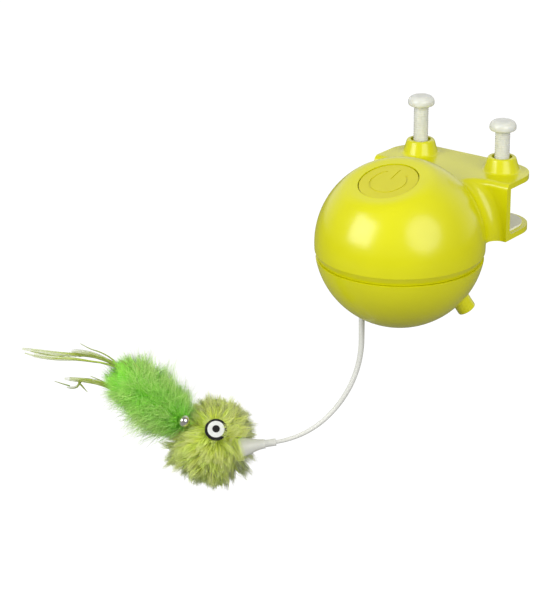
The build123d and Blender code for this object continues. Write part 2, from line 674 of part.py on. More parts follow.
with BuildPart() as circuit_board:
    with BuildSketch(TOP.offset(BOARD_TOP)):
        RectangleRounded(BOARD_W, BOARD_D, BOARD_T)
        with Locations((-BOARD_HOLE_SPAN / 2, 0), (BOARD_HOLE_SPAN / 2, 0)):
            Circle(FINE_R + TURN_GAP, mode=Mode.SUBTRACT)
    extrude(amount=-BOARD_T)
save(circuit_board.part, "circuit_board")

with BuildPart() as board_parts:
    # controller, driver transistor, two resistors and a capacitor
    for x, y, wide, deep, high in BOARD_CHIPS:
        with BuildSketch(TOP.offset(BOARD_TOP)):
            with Locations((x, y)):
                Rectangle(wide, deep)
        extrude(amount=high)
    with BuildSketch(TOP.offset(BOARD_TOP)):
        with Locations(CAPACITOR_AT):
            Circle(CAPACITOR_R)
    extrude(amount=CAPACITOR_H)
save(board_parts.part, "board_parts")

board_back = TOP.offset(BOARD_TOP - BOARD_T)
board_holes = [board_back.from_local_coords((x, 0, 0)) for x in (-BOARD_HOLE_SPAN / 2, BOARD_HOLE_SPAN / 2)]
save(screws([board_back.shift_origin(hole) for hole in board_holes], BOARD_SCREW), "board_screws")

# ================================================================ batteries
with BuildPart() as battery_box:
    with BuildSketch(DOOR.offset(BOX_MOUTH)):
        RectangleRounded(BOX_W, BOX_H, BOX_WALL)
    extrude(amount=-(BOX_MOUTH + BOX_END + BOX_WALL))
    with BuildSketch(DOOR.offset(BOX_MOUTH)):
        Rectangle(BOX_W - 2 * BOX_WALL, BOX_H - 2 * BOX_WALL)
    extrude(amount=-(BOX_MOUTH + BOX_END), mode=Mode.SUBTRACT)
    # low ridges between the cells
    for sign in (-1, 1):
        with BuildSketch(DOOR.offset(BOX_MOUTH - SPRING_H)):
            with Locations((0, sign * (BOX_H / 2 - BOX_WALL))):
                Rectangle(BOX_WALL, 2 * BOX_WALL)
        extrude(amount=-(BOX_MOUTH - SPRING_H + BOX_END - SPRING_H))
    # feet with the pilot holes of the chassis screws
    for point in BOX_SCREWS:
        with BuildSketch(LEVEL.offset(BOX_Z)):
            with Locations(point):
                Circle(BOX_POST_R)
        extrude(amount=-BOX_FOOT)
        with BuildSketch(LEVEL.offset(BOX_Z - BOX_FOOT)):
            with Locations(point):
                Circle(FINE_R + PRESS_GAP)
        extrude(amount=BOX_FOOT, mode=Mode.SUBTRACT)
save(battery_box.part, "battery_box")


def cell(y, nub):
    """One cell lying along X; nub is +1 when its nub points right, -1 left."""
    start = -CELL_LEFT if nub > 0 else -(DOOR_FACE - CONTACT) + CELL_NUB
    with BuildPart() as body:
        with BuildSketch(SIDE.offset(start)):
            with Locations((y, BOX_MID)):
                Circle(CELL_R)
        extrude(amount=CELL_LENGTH - CELL_NUB)
        fillet(body.edges(), radius=CONTACT)
        nub_from = start + CELL_LENGTH - CELL_NUB if nub > 0 else start
        with BuildSketch(SIDE.offset(nub_from)):
            with Locations((y, BOX_MID)):
                Circle(CELL_NUB_R)
        extrude(amount=nub * CELL_NUB)
    return body.part


CELL_YS = (CELLS_Y - CELL_PITCH / 2, CELLS_Y + CELL_PITCH / 2)
save(Compound(children=[cell(CELL_YS[0], 1), cell(CELL_YS[1], -1)]), "battery_cells")

with BuildPart() as door_plate:
    with BuildSketch(DOOR.offset(DOOR_FACE - CONTACT)):
        Rectangle(CELL_PITCH + CONTACT_H, CONTACT_H)
    extrude(amount=CONTACT)
save(door_plate.part, "door_contact")



def cell_spring(x, y, heading, name):
    """Conical spring that stands on a contact at x and presses on a cell."""
    foot = CENTRE + Vector(x + heading * SPRING_WIRE_R, y, BOX_MID)
    place = Plane(origin=foot, x_dir=(0, 0, 1), z_dir=(heading, 0, 0))
    save(coil(place, SPRING_FOOT_R, SPRING_TOP_R, SPRING_H - 2 * SPRING_WIRE_R, SPRING_TURNS), name)


cell_spring(-CELL_LEFT - SPRING_H, CELL_YS[0], 1, "door_spring")
cell_spring(CELL_RIGHT, CELL_YS[1], -1, "box_spring")

with BuildPart() as box_contacts:
    for y in CELL_YS:
        with BuildSketch(SIDE.offset(BOX_END)):
            with Locations((y, BOX_MID)):
                Rectangle(CONTACT_H, CONTACT_H)
        extrude(amount=-CONTACT)
save(box_contacts.part, "box_contacts")

with BuildPart() as door_pocket:
    # hollow behind the door's face, with a cross of ribs that carries the contact
    with BuildSketch(DOOR.offset(DOOR_FACE)):
        inset = 2 * (DOOR_WALL + DOOR_GAP)
        RectangleRounded(DOOR_W - inset, DOOR_H - inset, DOOR_WALL / 2)
    extrude(amount=BALL_R)
    with Locations(LEVEL):
        Sphere(INNER_R, mode=Mode.INTERSECT)
    with BuildSketch(DOOR.offset(DOOR_FACE)):
        Rectangle(DOOR_W, DOOR_RIB)
        Rectangle(DOOR_RIB, DOOR_H)
    extrude(amount=BALL_R, mode=Mode.SUBTRACT)

with BuildPart() as battery_door:
    with BuildSketch(DOOR.offset(DOOR_FACE)):
        RectangleRounded(DOOR_W - 2 * DOOR_GAP, DOOR_H - 2 * DOOR_GAP, DOOR_CORNER_R - DOOR_GAP)
    extrude(amount=BALL_R)
    with BuildSketch(EAR.offset(TAB_FACE)):
        add(ear_outline(DOOR_GAP))
    extrude(amount=BALL_R)
    with Locations(LEVEL):
        Sphere(BALL_R, mode=Mode.INTERSECT)
    add(door_pocket.part, mode=Mode.SUBTRACT)
    with BuildSketch(EAR.offset(TAB_HEAD)):
        Circle(FINE_HEAD_R + CELL_GAP)
    extrude(amount=BALL_R, mode=Mode.SUBTRACT)
    with BuildSketch(EAR.offset(TAB_HEAD)):
        Circle(FINE_R + TURN_GAP)
    extrude(amount=-BALL_R / 4, mode=Mode.SUBTRACT)
save(battery_door.part, "battery_door")

door_screw_place = Plane(origin=EAR.offset(TAB_HEAD).origin, x_dir=(0, 1, 0), z_dir=(1, 0, 0))
save(fine_screw(door_screw_place, DOOR_SCREW), "door_screw")

# ================================================================ chassis and gearbox
with BuildPart() as chassis_plate:
    with BuildSketch(LEVEL.offset(SEAM_Z)):
        Circle(SEAM_R - SHELL - CELL_GAP)
    extrude(amount=CHASSIS)
    with BuildSketch(LEVEL.offset(CHASSIS_TOP)):
        with Locations(*BOX_SCREWS):
            Circle(BOX_POST_R)
    extrude(amount=BOX_Z - BOX_FOOT - CHASSIS_TOP)
    with BuildSketch(LEVEL.offset(CHASSIS_TOP)):
        with Locations(*COVER_SCREWS):
            Circle(COVER_POST_R)
    extrude(amount=COVER_Z - CHASSIS_TOP)
    with BuildSketch(LEVEL.offset(COVER_Z)):
        with Locations(*COVER_SCREWS):
            Circle(FINE_R + PRESS_GAP)
    extrude(amount=-COVER_SCREW, mode=Mode.SUBTRACT)
    with BuildSketch(LEVEL.offset(SEAM_Z)):
        with Locations(*HOUSING_POINTS, *BOX_SCREWS):
            Circle(FINE_R + TURN_GAP)
        Circle(SHAFT_D / 2 + TURN_GAP + BUSH_WALL + PRESS_GAP)
    extrude(amount=BALL_R, mode=Mode.SUBTRACT)
    with BuildSketch(LEVEL.offset(SEAM_Z)):
        with Locations(*HOUSING_POINTS, *BOX_SCREWS):
            Circle(FINE_HEAD_R + CELL_GAP)
    extrude(amount=HEAD_SINK, mode=Mode.SUBTRACT)
    with BuildSketch(LEVEL.offset(CHASSIS_TOP)):
        with Locations(SECOND_AT, FIRST_AT):
            Circle(AXLE_R + PRESS_GAP)
    extrude(amount=-AXLE_GRIP, mode=Mode.SUBTRACT)
save(chassis_plate.part, "chassis_plate")


save(screws(upright(HOUSING_POINTS, SEAM_Z + HEAD_SINK), HOUSING_SCREW), "housing_screws")
save(screws(upright(BOX_SCREWS, SEAM_Z + HEAD_SINK), BOX_SCREW), "battery_box_screws")

with BuildPart() as shaft_bush:
    with BuildSketch(LEVEL.offset(SEAM_Z)):
        Circle(SHAFT_D / 2 + TURN_GAP + BUSH_WALL)
    extrude(amount=OUTPUT_Z - TURN_GAP - SEAM_Z)
    with BuildSketch(LEVEL.offset(SEAM_Z)):
        Circle(SHAFT_D / 2 + TURN_GAP + BUSH_WALL + BUSH_FLANGE * 2)
    extrude(amount=-BUSH_FLANGE)
    with BuildSketch(LEVEL.offset(SEAM_Z - BUSH_FLANGE)):
        Circle(SHAFT_D / 2 + TURN_GAP)
    extrude(amount=BALL_R, mode=Mode.SUBTRACT)
save(shaft_bush.part, "shaft_bush")


def gear_face(teeth, tooth_at):
    """Involute gear outline about the origin, with a tooth centred on an angle in degrees."""
    pitch = pitch_r(teeth)
    base = pitch * cos(PRESSURE)
    tip = pitch + ADDENDUM * MODULE
    root = pitch - DEDENDUM * MODULE
    start = max(base, root)

    def half_angle(radius):
        """Half the tooth's thickness, as an angle, at a radius."""
        roll = acos(min(1, base / radius))
        return pi / (2 * teeth) - BACKLASH / (2 * pitch) + tan(PRESSURE) - PRESSURE - tan(roll) + roll

    flank = [(start + (tip - start) * i / 3, half_angle(start + (tip - start) * i / 3)) for i in range(4)]
    if root < base:
        flank.insert(0, (root, half_angle(base)))
    points = []
    for tooth in range(teeth):
        middle = radians(tooth_at) + 2 * pi * tooth / teeth
        points += [(r * cos(middle - half), r * sin(middle - half)) for r, half in flank]
        points += [(r * cos(middle + half), r * sin(middle + half)) for r, half in reversed(flank)]
    with BuildSketch() as face:
        with BuildLine():
            Polyline(*points, close=True)
        make_face()
    return face.sketch


def facing_gap(angle):
    """Tooth angle of a pinion that turns a gap to a wheel which sees it at an angle."""
    return angle + 180 + 180 / PINION_TEETH


with BuildPart() as output_gear:
    with BuildSketch(LEVEL.offset(OUTPUT_Z)):
        add(gear_face(OUTPUT_TEETH, SECOND_ANGLE))
    extrude(amount=OUTPUT_W)
    with BuildSketch(LEVEL.offset(OUTPUT_Z)):
        Circle(SHAFT_D / 2)
    extrude(amount=-(OUTPUT_Z - SHAFT_END))
    # flat that drives the carrier
    with BuildSketch(LEVEL.offset(ROTOR_Z)):
        with Locations((SHAFT_D / 2 + FLAT, 0)):
            Rectangle(SHAFT_D, SHAFT_D)
    extrude(amount=-(ROTOR_Z - SHAFT_END), mode=Mode.SUBTRACT)
    with BuildSketch(LEVEL.offset(SHAFT_END)):
        Circle(FINE_R + PRESS_GAP)
    extrude(amount=HUB_SCREW - HUB_FLOOR, mode=Mode.SUBTRACT)
    # upper journal
    with BuildSketch(LEVEL.offset(OUTPUT_Z + OUTPUT_W)):
        Circle(STUB_R)
    extrude(amount=COVER_Z - LAYER_GAP - OUTPUT_Z - OUTPUT_W)
    with BuildSketch(LEVEL.offset(COVER_Z - LAYER_GAP)):
        Circle(JOURNAL_R)
    extrude(amount=COVER)
save(output_gear.part, "output_gear")


def idler(name, at, wheel_z, wheel_w, pinion_z, wheel_tooth, pinion_tooth):
    """Wheel and pinion moulded in one, free on their axle."""
    with BuildPart() as gear:
        with BuildSketch(LEVEL.offset(wheel_z)):
            with Locations(at):
                add(gear_face(IDLER_TEETH, wheel_tooth))
        extrude(amount=wheel_w)
        with BuildSketch(LEVEL.offset(pinion_z)):
            with Locations(at):
                add(gear_face(PINION_TEETH, pinion_tooth))
        extrude(amount=wheel_z - pinion_z)
        with BuildSketch(LEVEL.offset(wheel_z + wheel_w)):
            with Locations(at):
                Circle(AXLE_R + HUB_WALL)
        extrude(amount=COVER_Z - LAYER_GAP - wheel_z - wheel_w)
        with BuildSketch(LEVEL.offset(pinion_z)):
            with Locations(at):
                Circle(AXLE_R + TURN_GAP)
        extrude(amount=BALL_R, mode=Mode.SUBTRACT)
    save(gear.part, name)


idler("second_gear", SECOND_AT, SECOND_Z, SECOND_W, OUTPUT_Z, FIRST_ANGLE, facing_gap(SECOND_ANGLE))
idler("first_gear", FIRST_AT, FIRST_Z, FIRST_W, SECOND_Z, MOTOR_ANGLE, facing_gap(FIRST_ANGLE))

with BuildPart() as gear_axles:
    with BuildSketch(LEVEL.offset(CHASSIS_TOP - AXLE_GRIP)):
        with Locations(SECOND_AT, FIRST_AT):
            Circle(AXLE_R)
    extrude(amount=COVER_TOP - CHASSIS_TOP + AXLE_GRIP)
save(gear_axles.part, "gear_axles")

with BuildPart() as motor_pinion:
    with BuildSketch(LEVEL.offset(FIRST_Z)):
        with Locations(MOTOR_AT):
            add(gear_face(PINION_TEETH, facing_gap(MOTOR_ANGLE)))
            Circle(SHAFT_R + PRESS_GAP, mode=Mode.SUBTRACT)
    extrude(amount=FIRST_W)
save(motor_pinion.part, "motor_pinion")

with BuildPart() as motor_shaft:
    with BuildSketch(LEVEL.offset(FIRST_Z)):
        with Locations(MOTOR_AT):
            Circle(SHAFT_R)
    extrude(amount=COVER_TOP + MOTOR_LENGTH - SHELL - FIRST_Z)
save(motor_shaft.part, "motor_shaft")


def motor_outline(gap):
    """Round can with two flats, grown by a gap."""
    with BuildSketch() as outline:
        Circle(MOTOR_R + gap)
        Rectangle(2 * (MOTOR_R + gap), 2 * (MOTOR_FLAT + gap), mode=Mode.INTERSECT)
    return outline.sketch


with BuildPart() as motor:
    with BuildSketch(LEVEL.offset(COVER_TOP)):
        with Locations(MOTOR_AT):
            add(motor_outline(0))
    extrude(amount=MOTOR_LENGTH)
    with BuildSketch(LEVEL.offset(COVER_TOP)):
        with Locations(MOTOR_AT):
            Circle(MOTOR_NOSE_R)
    extrude(amount=-MOTOR_NOSE)
    with BuildSketch(LEVEL.offset(COVER_TOP - MOTOR_NOSE)):
        with Locations(MOTOR_AT):
            Circle(SHAFT_R + TURN_GAP)
    extrude(amount=MOTOR_NOSE + MOTOR_LENGTH - SHELL / 2, mode=Mode.SUBTRACT)
save(motor.part, "motor")

with BuildPart() as gearbox_cover:
    with BuildSketch(LEVEL.offset(COVER_Z)):
        with Locations(*COVER_SCREWS):
            Circle(COVER_POST_R + BOX_WALL)
        with Locations(FIRST_AT, OUTPUT_AT):
            Circle(3 * AXLE_R)
        with Locations(MOTOR_AT):
            Circle(MOTOR_R + SHELL)
        make_hull()
        with Locations(*COVER_SCREWS):
            Circle(FINE_R + TURN_GAP, mode=Mode.SUBTRACT)
        with Locations(FIRST_AT, SECOND_AT):
            Circle(AXLE_R + PRESS_GAP, mode=Mode.SUBTRACT)
        with Locations(OUTPUT_AT):
            Circle(JOURNAL_R + TURN_GAP, mode=Mode.SUBTRACT)
        with Locations(MOTOR_AT):
            Circle(MOTOR_NOSE_R + PRESS_GAP, mode=Mode.SUBTRACT)
    extrude(amount=COVER)
    # collar round the motor
    with BuildSketch(LEVEL.offset(COVER_TOP)):
        with Locations(MOTOR_AT):
            add(motor_outline(BOX_WALL))
            add(motor_outline(PRESS_GAP), mode=Mode.SUBTRACT)
    extrude(amount=MOTOR_COLLAR)
save(gearbox_cover.part, "gearbox_cover")

save(screws(hanging(COVER_SCREWS, COVER_TOP), COVER_SCREW), "gearbox_screws")

# ================================================================ contacts of the slip rings
with BuildPart() as contact_fingers:
    # bent strips that hang from the chassis and press on the rings
    for inner, outer in RINGS:
        middle = (inner + outer) / 2
        with BuildSketch(SIDE.offset(-FINGER_REACH)):
            with Locations((middle, SEAM_Z - FINGER_T / 2)):
                Rectangle(FINGER_W, FINGER_T)
        extrude(amount=-FINGER_FOOT)
        with BuildSketch(FRONT.offset(-middle)):
            with BuildLine():
                low = ROTOR_Z + RING_T + TURN_GAP
                Polyline(
                    (-FINGER_REACH, SEAM_Z),
                    (-FINGER_REACH, SEAM_Z - FINGER_T),
                    (-FINGER_W, low),
                    (FINGER_W, low),
                    (FINGER_W, low + FINGER_T),
                    (-FINGER_W, low + FINGER_T),
                    close=True,
                )
            make_face()
        extrude(amount=FINGER_W / 2, both=True)
save(contact_fingers.part, "contact_fingers")


# ================================================================ turning half
def in_arm(u, z, out=0.0):
    """Point from its place in the arm's plane, and out of it towards the front."""
    return CENTRE + ARM.x_dir * u + Vector(0, 0, z) - ARM.z_dir * out


POST_POINTS = around(POST_CIRCLE, POST_ANGLES)
HUB_END = ROTOR_Z - ROTOR_PLATE - HUB_DEPTH - HUB_FLOOR
nozzle_dir = ARM.x_dir * -cos(radians(NOZZLE_SLOPE)) - Vector(0, 0, sin(radians(NOZZLE_SLOPE)))
NOZZLE = Plane(origin=in_arm(*NOZZLE_END), x_dir=ARM.z_dir, z_dir=nozzle_dir)
ARM_FOOT = Plane(origin=in_arm(ARM_AT, 0))

with BuildPart() as lower_posts:
    # screw posts, the arm's socket and the access tube, down to the wall
    with BuildSketch(LEVEL.offset(ROTOR_Z - ROTOR_PLATE)):
        with Locations(*POST_POINTS):
            Circle(POST_R)
    extrude(amount=-BALL_R)
    with BuildSketch(ARM_FOOT.offset(SOCKET_TOP)):
        Circle(SOCKET_R)
    extrude(amount=-BALL_R)
    with BuildSketch(LEVEL.offset(HUB_END - LAYER_GAP)):
        Circle(ACCESS_R + ACCESS_WALL)
    extrude(amount=-BALL_R)
    with Locations(LEVEL):
        Sphere(BALL_R - SHELL / 2, mode=Mode.INTERSECT)

with BuildPart() as lower_shell:
    with BuildSketch(FRONT):
        with BuildLine():
            rim_outer = degrees(asin(RIM_Z / BALL_R))
            rim_inner = degrees(asin(RIM_Z / INNER_R))
            outside = CenterArc((0, 0), BALL_R, -90, 90 + rim_outer)
            inside = CenterArc((0, 0), INNER_R, -90, 90 + rim_inner)
            Line(outside @ 0, inside @ 0)
            Line(outside @ 1, inside @ 1)
        make_face()
    revolve(axis=SPIN)
    add(lower_posts.part)
    with BuildSketch(NOZZLE):
        Circle(NOZZLE_R)
    extrude(amount=-NOZZLE_LENGTH)
    fillet(lower_shell.edges().sort_by(Axis(NOZZLE.origin, NOZZLE.z_dir))[-1], radius=FINE_R / 2)
    # bore of the laser, with a lip in front of the lens
    with BuildSketch(NOZZLE):
        Circle(LIP_R)
    extrude(amount=-NOZZLE_LENGTH, mode=Mode.SUBTRACT)
    with BuildSketch(NOZZLE.offset(-LIP)):
        Circle(LASER_R + PRESS_GAP)
    extrude(amount=-NOZZLE_LENGTH, mode=Mode.SUBTRACT)
    with BuildSketch(ARM_FOOT.offset(SOCKET_TOP)):
        Circle(PLUG_R + PRESS_GAP)
    extrude(amount=PLUG_Z - SOCKET_TOP, mode=Mode.SUBTRACT)
    with BuildSketch(ARM_FOOT.offset(SOCKET_TOP)):
        Circle(ARM_ROOT_R + TURN_GAP)
    extrude(amount=-BALL_R, mode=Mode.SUBTRACT)
    with BuildSketch(LEVEL.offset(HUB_END)):
        Circle(ACCESS_R)
    extrude(amount=-BALL_R, mode=Mode.SUBTRACT)
    with BuildSketch(LEVEL.offset(ROTOR_Z - ROTOR_PLATE)):
        with Locations(*POST_POINTS):
            Circle(FINE_R + PRESS_GAP)
    extrude(amount=-ROTOR_SCREW, mode=Mode.SUBTRACT)
save(lower_shell.part, "lower_shell")

with BuildPart() as rotor_plate:
    with BuildSketch(LEVEL.offset(ROTOR_Z)):
        Circle(ROTOR_R)
        with Locations(*POST_POINTS):
            Circle(FINE_R + TURN_GAP, mode=Mode.SUBTRACT)
    extrude(amount=-ROTOR_PLATE)
    with BuildSketch(LEVEL.offset(COLLAR_TOP)):
        Circle(COLLAR_R)
    extrude(amount=ROTOR_Z - COLLAR_TOP)
    with BuildSketch(LEVEL.offset(ROTOR_Z - ROTOR_PLATE)):
        Circle(HUB_R)
    extrude(amount=HUB_END - ROTOR_Z + ROTOR_PLATE)
    # socket of the shaft, with its flat
    with BuildSketch(LEVEL.offset(COLLAR_TOP)):
        Circle(SHAFT_D / 2 + PRESS_GAP)
    extrude(amount=ROTOR_Z - COLLAR_TOP, mode=Mode.SUBTRACT)
    with BuildSketch(LEVEL.offset(ROTOR_Z)):
        Circle(SHAFT_D / 2 + PRESS_GAP)
        with Locations((SHAFT_D / 2 + FLAT + PRESS_GAP, 0)):
            Rectangle(SHAFT_D, SHAFT_D, mode=Mode.SUBTRACT)
    extrude(amount=-(ROTOR_PLATE + HUB_DEPTH), mode=Mode.SUBTRACT)
    with BuildSketch(LEVEL.offset(HUB_END)):
        Circle(FINE_R + TURN_GAP)
    extrude(amount=HUB_DEPTH, mode=Mode.SUBTRACT)
save(rotor_plate.part, "rotor_plate")

with BuildPart() as slip_rings:
    with BuildSketch(LEVEL.offset(ROTOR_Z)):
        for inner, outer in RINGS:
            Circle(outer)
            Circle(inner, mode=Mode.SUBTRACT)
    extrude(amount=RING_T)
save(slip_rings.part, "slip_rings")

save(screws(upright([(0, 0)], HUB_END), HUB_SCREW), "hub_screw")
save(screws(hanging(POST_POINTS, ROTOR_Z), ROTOR_SCREW), "rotor_screws")

with BuildPart() as laser_lens:
    with BuildSketch(NOZZLE.offset(-LIP)):
        Circle(LENS_R)
    extrude(amount=-LENS_T)
save(laser_lens.part, "laser_lens")

with BuildPart() as laser_module:
    with BuildSketch(NOZZLE.offset(-LIP - LENS_T)):
        Circle(LASER_R)
    extrude(amount=-LASER_LENGTH)
    chamfer(laser_module.edges().sort_by(Axis(NOZZLE.origin, NOZZLE.z_dir))[0], length=LENS_T / 2)
save(laser_module.part, "laser_module")

with BuildPart() as arm_retainer:
    with BuildSketch(ARM_FOOT.offset(CAP_SKIRT)):
        Circle(SOCKET_R + TURN_GAP + BOX_WALL)
    extrude(amount=CAP_TOP - CAP_SKIRT)
    fillet(arm_retainer.edges().group_by(Axis.Z)[-1], radius=BOX_WALL / 2)
    with BuildSketch(ARM_FOOT.offset(CAP_SKIRT)):
        Circle(SOCKET_R + PRESS_GAP)
    extrude(amount=SOCKET_TOP - CAP_SKIRT, mode=Mode.SUBTRACT)
save(arm_retainer.part, "arm_retainer")

# ================================================================ swing arm
with BuildLine(ARM) as arm_path:
    drop = Line((ARM_AT, PLUG_Z), (ARM_AT, -ARM_DROP))
    bend_1 = CenterArc((ARM_AT + ARM_BEND_1, -ARM_DROP), ARM_BEND_1, 180, 90 - ARM_SPLIT)
    elbow = Vector(ARM_AT + ARM_BEND_1, -ARM_DROP) - Vector(1, 0).rotate(Axis.Z, 90 - ARM_SPLIT) * ARM_BEND_1
    bend_2_c = elbow + Vector(1, 0).rotate(Axis.Z, 90 - ARM_SPLIT) * ARM_BEND_2
    bend_2 = CenterArc((bend_2_c.X, bend_2_c.Y), ARM_BEND_2, 270 - ARM_SPLIT, ARM_SPLIT - ARM_END)
lure_dir = arm_path.edges()[-1] % 1
lure_at = arm_path.edges()[-1] @ 1
LURE = Plane(origin=lure_at, x_dir=ARM.z_dir, z_dir=lure_dir)

with BuildPart() as swing_arm:
    with BuildLine():
        add(arm_path.edges())
    with BuildSketch(ARM_FOOT.offset(PLUG_Z)):
        Circle(ARM_ROOT_R)
    with BuildSketch(LURE):
        Circle(ARM_TIP_R)
    sweep(multisection=True)
    with BuildSketch(ARM_FOOT.offset(PLUG_Z)):
        Circle(PLUG_R)
    extrude(amount=SOCKET_TOP - CELL_GAP - PLUG_Z)
    with BuildSketch(LURE):
        Circle(ARM_TIP_R)
    extrude(amount=FERRULE + CUP / 2)
save(swing_arm.part, "swing_arm")

# ================================================================ lure
with BuildPart() as ferrule:
    with BuildSketch(LURE):
        Circle(FERRULE_R)
        Circle(ARM_TIP_R + PRESS_GAP, mode=Mode.SUBTRACT)
    extrude(amount=FERRULE)
save(ferrule.part, "arm_ferrule")

cup_place = LURE.offset(FERRULE)
with BuildPart() as plush_cup:
    with BuildSketch(Plane(origin=cup_place.origin, x_dir=lure_dir.cross(ARM.z_dir), z_dir=ARM.z_dir)):
        with BuildLine():
            # bell-shaped profile: radius along x, axis along y
            wall = Spline((CUP_SMALL_R, 0), (CUP_R, CUP), tangents=((0, 1), (0, 1)))
            Polyline(wall @ 1, (0, CUP), (0, 0), wall @ 0)
        make_face()
    revolve(axis=Axis(cup_place.origin, lure_dir))
    with BuildSketch(cup_place):
        Circle(ARM_TIP_R + PRESS_GAP)
    extrude(amount=CUP / 2, mode=Mode.SUBTRACT)
save(plush_cup.part, "plush_cup")

bell_at = in_arm(*(Vector(*PLUSH_AT) + Vector(*BELL_TO).normalized() * (PLUSH_R + BELL_R + BELL_GAP)))
root_at = Vector(*PLUSH_AT) + Vector(*TUFT_TO).normalized() * (PLUSH_R - TUFT_SINK)
tuft_root = in_arm(*root_at)
tuft_dir = (in_arm(*(root_at + Vector(*TUFT_REACH))) - tuft_root).normalized()
tuft_length = Vector(*TUFT_REACH).length
TUFT = Plane(origin=tuft_root, x_dir=tuft_dir.cross(ARM.z_dir), z_dir=ARM.z_dir)
BINDING_PLANE = Plane(origin=tuft_root - tuft_dir * BINDING_START, x_dir=ARM.z_dir, z_dir=tuft_dir)

with BuildPart() as cup_space:
    # what the cup and the ferrule keep free in the plush
    add(plush_cup.part)
    with BuildSketch(cup_place.offset(CUP / 2)):
        Circle(ARM_TIP_R)
    extrude(amount=-CUP / 2)
    offset(amount=SOFT_GAP)

with BuildPart() as plush_body:
    with Locations(in_arm(*PLUSH_AT)):
        Sphere(PLUSH_R)
    add(cup_space.part, mode=Mode.SUBTRACT)
    with BuildSketch(BINDING_PLANE.offset(-SOFT_GAP)):
        Circle(BINDING_R + SOFT_GAP)
    extrude(amount=PLUSH_R, mode=Mode.SUBTRACT)
save(plush_body.part, "plush_body")


def on_plush(name, radius, low, high, inner=0.0):
    """Round patch on both sides of the plush, between two heights over its surface."""
    with BuildPart() as patch:
        for sign in (-1, 1):
            heading = in_arm(EYE_AT[0], EYE_AT[1], sign * EYE_AT[2]) - in_arm(*PLUSH_AT)
            with BuildSketch(Plane(origin=in_arm(*PLUSH_AT), z_dir=heading)):
                Circle(radius)
                if inner:
                    Circle(inner, mode=Mode.SUBTRACT)
            extrude(amount=2 * PLUSH_R)
        with Locations(in_arm(*PLUSH_AT)):
            Sphere(PLUSH_R + high, mode=Mode.INTERSECT)
            Sphere(PLUSH_R + low, mode=Mode.SUBTRACT)
    save(patch.part, name)


on_plush("eye_patches", EYE_R, PRESS_GAP, EYE_T)
on_plush("eye_whites", EYE_WHITE_R, EYE_T + PRESS_GAP, EYE_T + EYE_LAYER)
on_plush("eye_pupils", PUPIL_R, EYE_T + EYE_LAYER + PRESS_GAP, EYE_T + 2 * EYE_LAYER)

with BuildPart() as jingle_bell:
    with Locations(bell_at):
        Sphere(BELL_R)
        Sphere(BELL_R - BELL_WALL, mode=Mode.SUBTRACT)
    # slot across the lower half
    with BuildSketch(Plane(origin=bell_at)):
        SlotOverall(2 * BELL_R - 2 * BELL_SLOT, BELL_SLOT, rotation=ARM_HEADING)
    extrude(amount=-BELL_R, mode=Mode.SUBTRACT)
save(jingle_bell.part, "jingle_bell")

with BuildPart() as bell_pea:
    with Locations(bell_at - Vector(0, 0, BELL_R - BELL_WALL - PEA_R - TURN_GAP)):
        Sphere(PEA_R)
save(bell_pea.part, "bell_pea")

with BuildPart() as feather_binding:
    with BuildSketch(BINDING_PLANE):
        Circle(BINDING_R)
    extrude(amount=BINDING)
    fillet(feather_binding.edges(), radius=SOFT_GAP)
save(feather_binding.part, "feather_binding")


def tuft_shape(grow):
    """Pointed tuft, thick in the middle, grown by a gap."""
    with BuildPart() as shape:
        with BuildSketch(TUFT):
            with BuildLine():
                pull = (TUFT_R + grow) * 4 / 3
                tip = (0, tuft_length + grow)
                back = Bezier((0, -grow), (pull, tuft_length * 0.3), (pull, tuft_length * 0.8), tip)
                Line(back @ 1, back @ 0)
            make_face()
        revolve(axis=Axis(tuft_root, tuft_dir))
    return shape.part


with BuildPart() as feather_tuft:
    add(tuft_shape(0))
    with Locations(in_arm(*PLUSH_AT)):
        Sphere(PLUSH_R + SOFT_GAP, mode=Mode.SUBTRACT)
    with BuildSketch(BINDING_PLANE):
        Circle(BINDING_R + TURN_GAP)
    extrude(amount=BINDING + TURN_GAP, mode=Mode.SUBTRACT)
save(feather_tuft.part, "feather_tuft")

with BuildPart() as long_feathers:
    # flat blades in the arm's plane, from the tuft's surface to their tips
    for start_to, tip_to, width, sag in FEATHERS:
        start = root_at + Vector(*start_to)
        tip = root_at + Vector(*tip_to)
        middle = (start + tip) / 2
        side = (tip - start).normalized().rotate(Axis.Z, 90)
        with BuildSketch(ARM):
            with BuildLine():
                low = start - side * width / 2
                high = start + side * width / 2
                ThreePointArc(low, middle + side * (sag - width / 3), tip)
                ThreePointArc(high, middle + side * (sag + width / 3), tip)
                Line(low, high)
            make_face()
        extrude(amount=FEATHER_T / 2, both=True)
    add(tuft_shape(TURN_GAP), mode=Mode.SUBTRACT)
save(long_feathers.part, "long_feathers")
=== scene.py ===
"""Looks of the automatic cat laser toy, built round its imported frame."""

import logging
import math
from dataclasses import dataclass
from enum import Enum

import bmesh
import bpy
import numpy as np
from mathutils import Matrix, Vector


